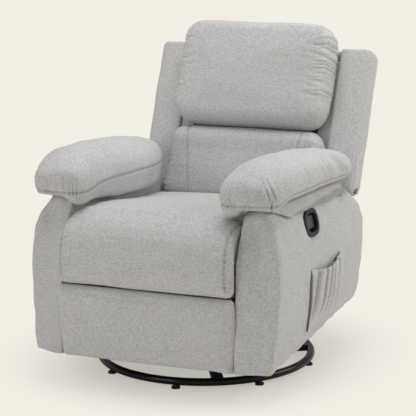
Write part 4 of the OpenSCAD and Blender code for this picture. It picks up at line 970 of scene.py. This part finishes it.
def make_linings(cloth):
    """Covers the top rail of the back frame, and the slits between the cushions and the wings."""
    frame_up, web_depth, rear_depth = (on_back(points_of(frame["nodes"][name]))[axis] for name, axis in (
        ("back_frame", 2), ("back_webbing", 1), ("rear_cover", 1)))
    inner = np.abs(points_of(frame["nodes"]["wing_left"])[:, 0]).min() - LINING_THICK
    front, rear = web_depth.min() - LINING_THICK, rear_depth.max() + 0.0035
    top = frame_up.max() + 2 * LINING_THICK
    make_lining("back_top_lining", [
        (front, top - 0.034), (front, top - 0.006), (front + 0.0015, top - 0.0018), (front + 0.005, top),
        (rear - 0.007, top), (rear - 0.002, top - 0.002), (rear, top - 0.006), (rear, top - 0.020)],
        -inner, inner, cloth)
    edge = inner - LINING_SIDE
    rows = [(front, low) for low in np.linspace(LINING_FOOT, top - 0.036, LINING_ROWS)]
    make_lining("back_side_lining_left", rows, edge, inner, cloth)
    make_lining("back_side_lining_right", rows, -edge, -inner, cloth)


# Floor, backdrop and lights
def make_world():
    """Even light from all round, and the backdrop's colour where the camera sees past the chair."""
    world = bpy.data.worlds.new("studio")
    bpy.context.scene.world = world
    world.use_nodes = True
    nodes, links = world.node_tree.nodes, world.node_tree.links
    nodes.clear()
    light, shown = nodes.new("ShaderNodeBackground"), nodes.new("ShaderNodeBackground")
    light.inputs["Color"].default_value = (*AMBIENT_COLOUR, 1)
    light.inputs["Strength"].default_value = AMBIENT
    shown.inputs["Color"].default_value = (*BACKDROP, 1)
    mix, out = nodes.new("ShaderNodeMixShader"), nodes.new("ShaderNodeOutputWorld")
    links.new(nodes.new("ShaderNodeLightPath").outputs["Is Camera Ray"], mix.inputs[0])
    links.new(light.outputs[0], mix.inputs[1])
    links.new(shown.outputs[0], mix.inputs[2])
    links.new(mix.outputs[0], out.inputs[0])


def make_floor():
    """A pale floor that keeps the shadow near the chair and fades into the backdrop further out."""
    corners = [(x * FLOOR_HALF, y * FLOOR_HALF, 0) for x, y in ((-1, -1), (1, -1), (1, 1), (-1, 1))]
    floor = new_object("floor", corners, [(0, 1, 2, 3)])
    material = bpy.data.materials.new("floor")
    material.use_nodes = True
    nodes, links = material.node_tree.nodes, material.node_tree.links
    nodes.clear()
    diffuse, plain = nodes.new("ShaderNodeBsdfDiffuse"), nodes.new("ShaderNodeEmission")
    diffuse.inputs["Color"].default_value = (*FLOOR_COLOUR, 1)
    plain.inputs["Color"].default_value = (*BACKDROP, 1)
    away = nodes.new("ShaderNodeVectorMath")
    away.operation = "LENGTH"
    place = nodes.new("ShaderNodeTexCoord").outputs["Object"]
    links.new(place, away.inputs[0])
    reach = nodes.new("ShaderNodeMapRange")
    reach.interpolation_type = "SMOOTHSTEP"
    links.new(away.outputs["Value"], reach.inputs["Value"])
    reach.inputs["From Min"].default_value = SHADOW_NEAR
    reach.inputs["From Max"].default_value = SHADOW_FAR
    reach.inputs["To Min"].default_value = SHADOW_FADE
    share = nodes.new("ShaderNodeMath")
    share.operation = "MULTIPLY"
    links.new(reach.outputs[0], share.inputs[0])
    links.new(nodes.new("ShaderNodeLightPath").outputs["Is Camera Ray"], share.inputs[1])
    mix, out = nodes.new("ShaderNodeMixShader"), nodes.new("ShaderNodeOutputMaterial")
    links.new(share.outputs[0], mix.inputs[0])
    links.new(diffuse.outputs[0], mix.inputs[1])
    links.new(plain.outputs[0], mix.inputs[2])
    links.new(mix.outputs[0], out.inputs[0])
    floor.data.materials.append(material)


def softbox(name, place, size, level):
    """A square lamp that lights a face turned to it at the given level, 1 being white."""
    data = bpy.data.lights.new(name, "AREA")
    data.shape = "SQUARE"
    data.size = size
    place = Vector(place)
    away = place - LAMP_AIM
    data.energy = level * math.pi ** 2 * away.length ** 2
    lamp = bpy.data.objects.new(name, data)
    lamp.matrix_world = Matrix.Translation(place) @ away.to_track_quat("Z", "Y").to_matrix().to_4x4()
    bpy.context.scene.collection.objects.link(lamp)


def make_stage():
    make_world()
    make_floor()
    softbox("key_above", (0.2, 0.15, 3.4), size=2.2, level=0.62)
    softbox("side_right", (3.0, 1.3, 2.1), size=2.0, level=0.31)
    softbox("fill_front", (-1.6, -3.6, 1.8), size=1.8, level=0.18)
    bpy.context.scene.view_settings.view_transform = "Standard"


def main():
    make_camera()
    materials = make_materials()
    slots = {s["node"]: s["material_slot"] for s in frame["record"]["subparts"]}
    for name, obj in frame["nodes"].items():
        obj.data.materials.clear()
        obj.data.materials.append(materials[slots[name]])
    make_padded(materials["linen"])
    for side, name in SIDES:
        make_flap(side, name, materials["linen"])
    make_pocket(materials["linen"])
    make_linings(materials["linen"])
    make_stage()


main()
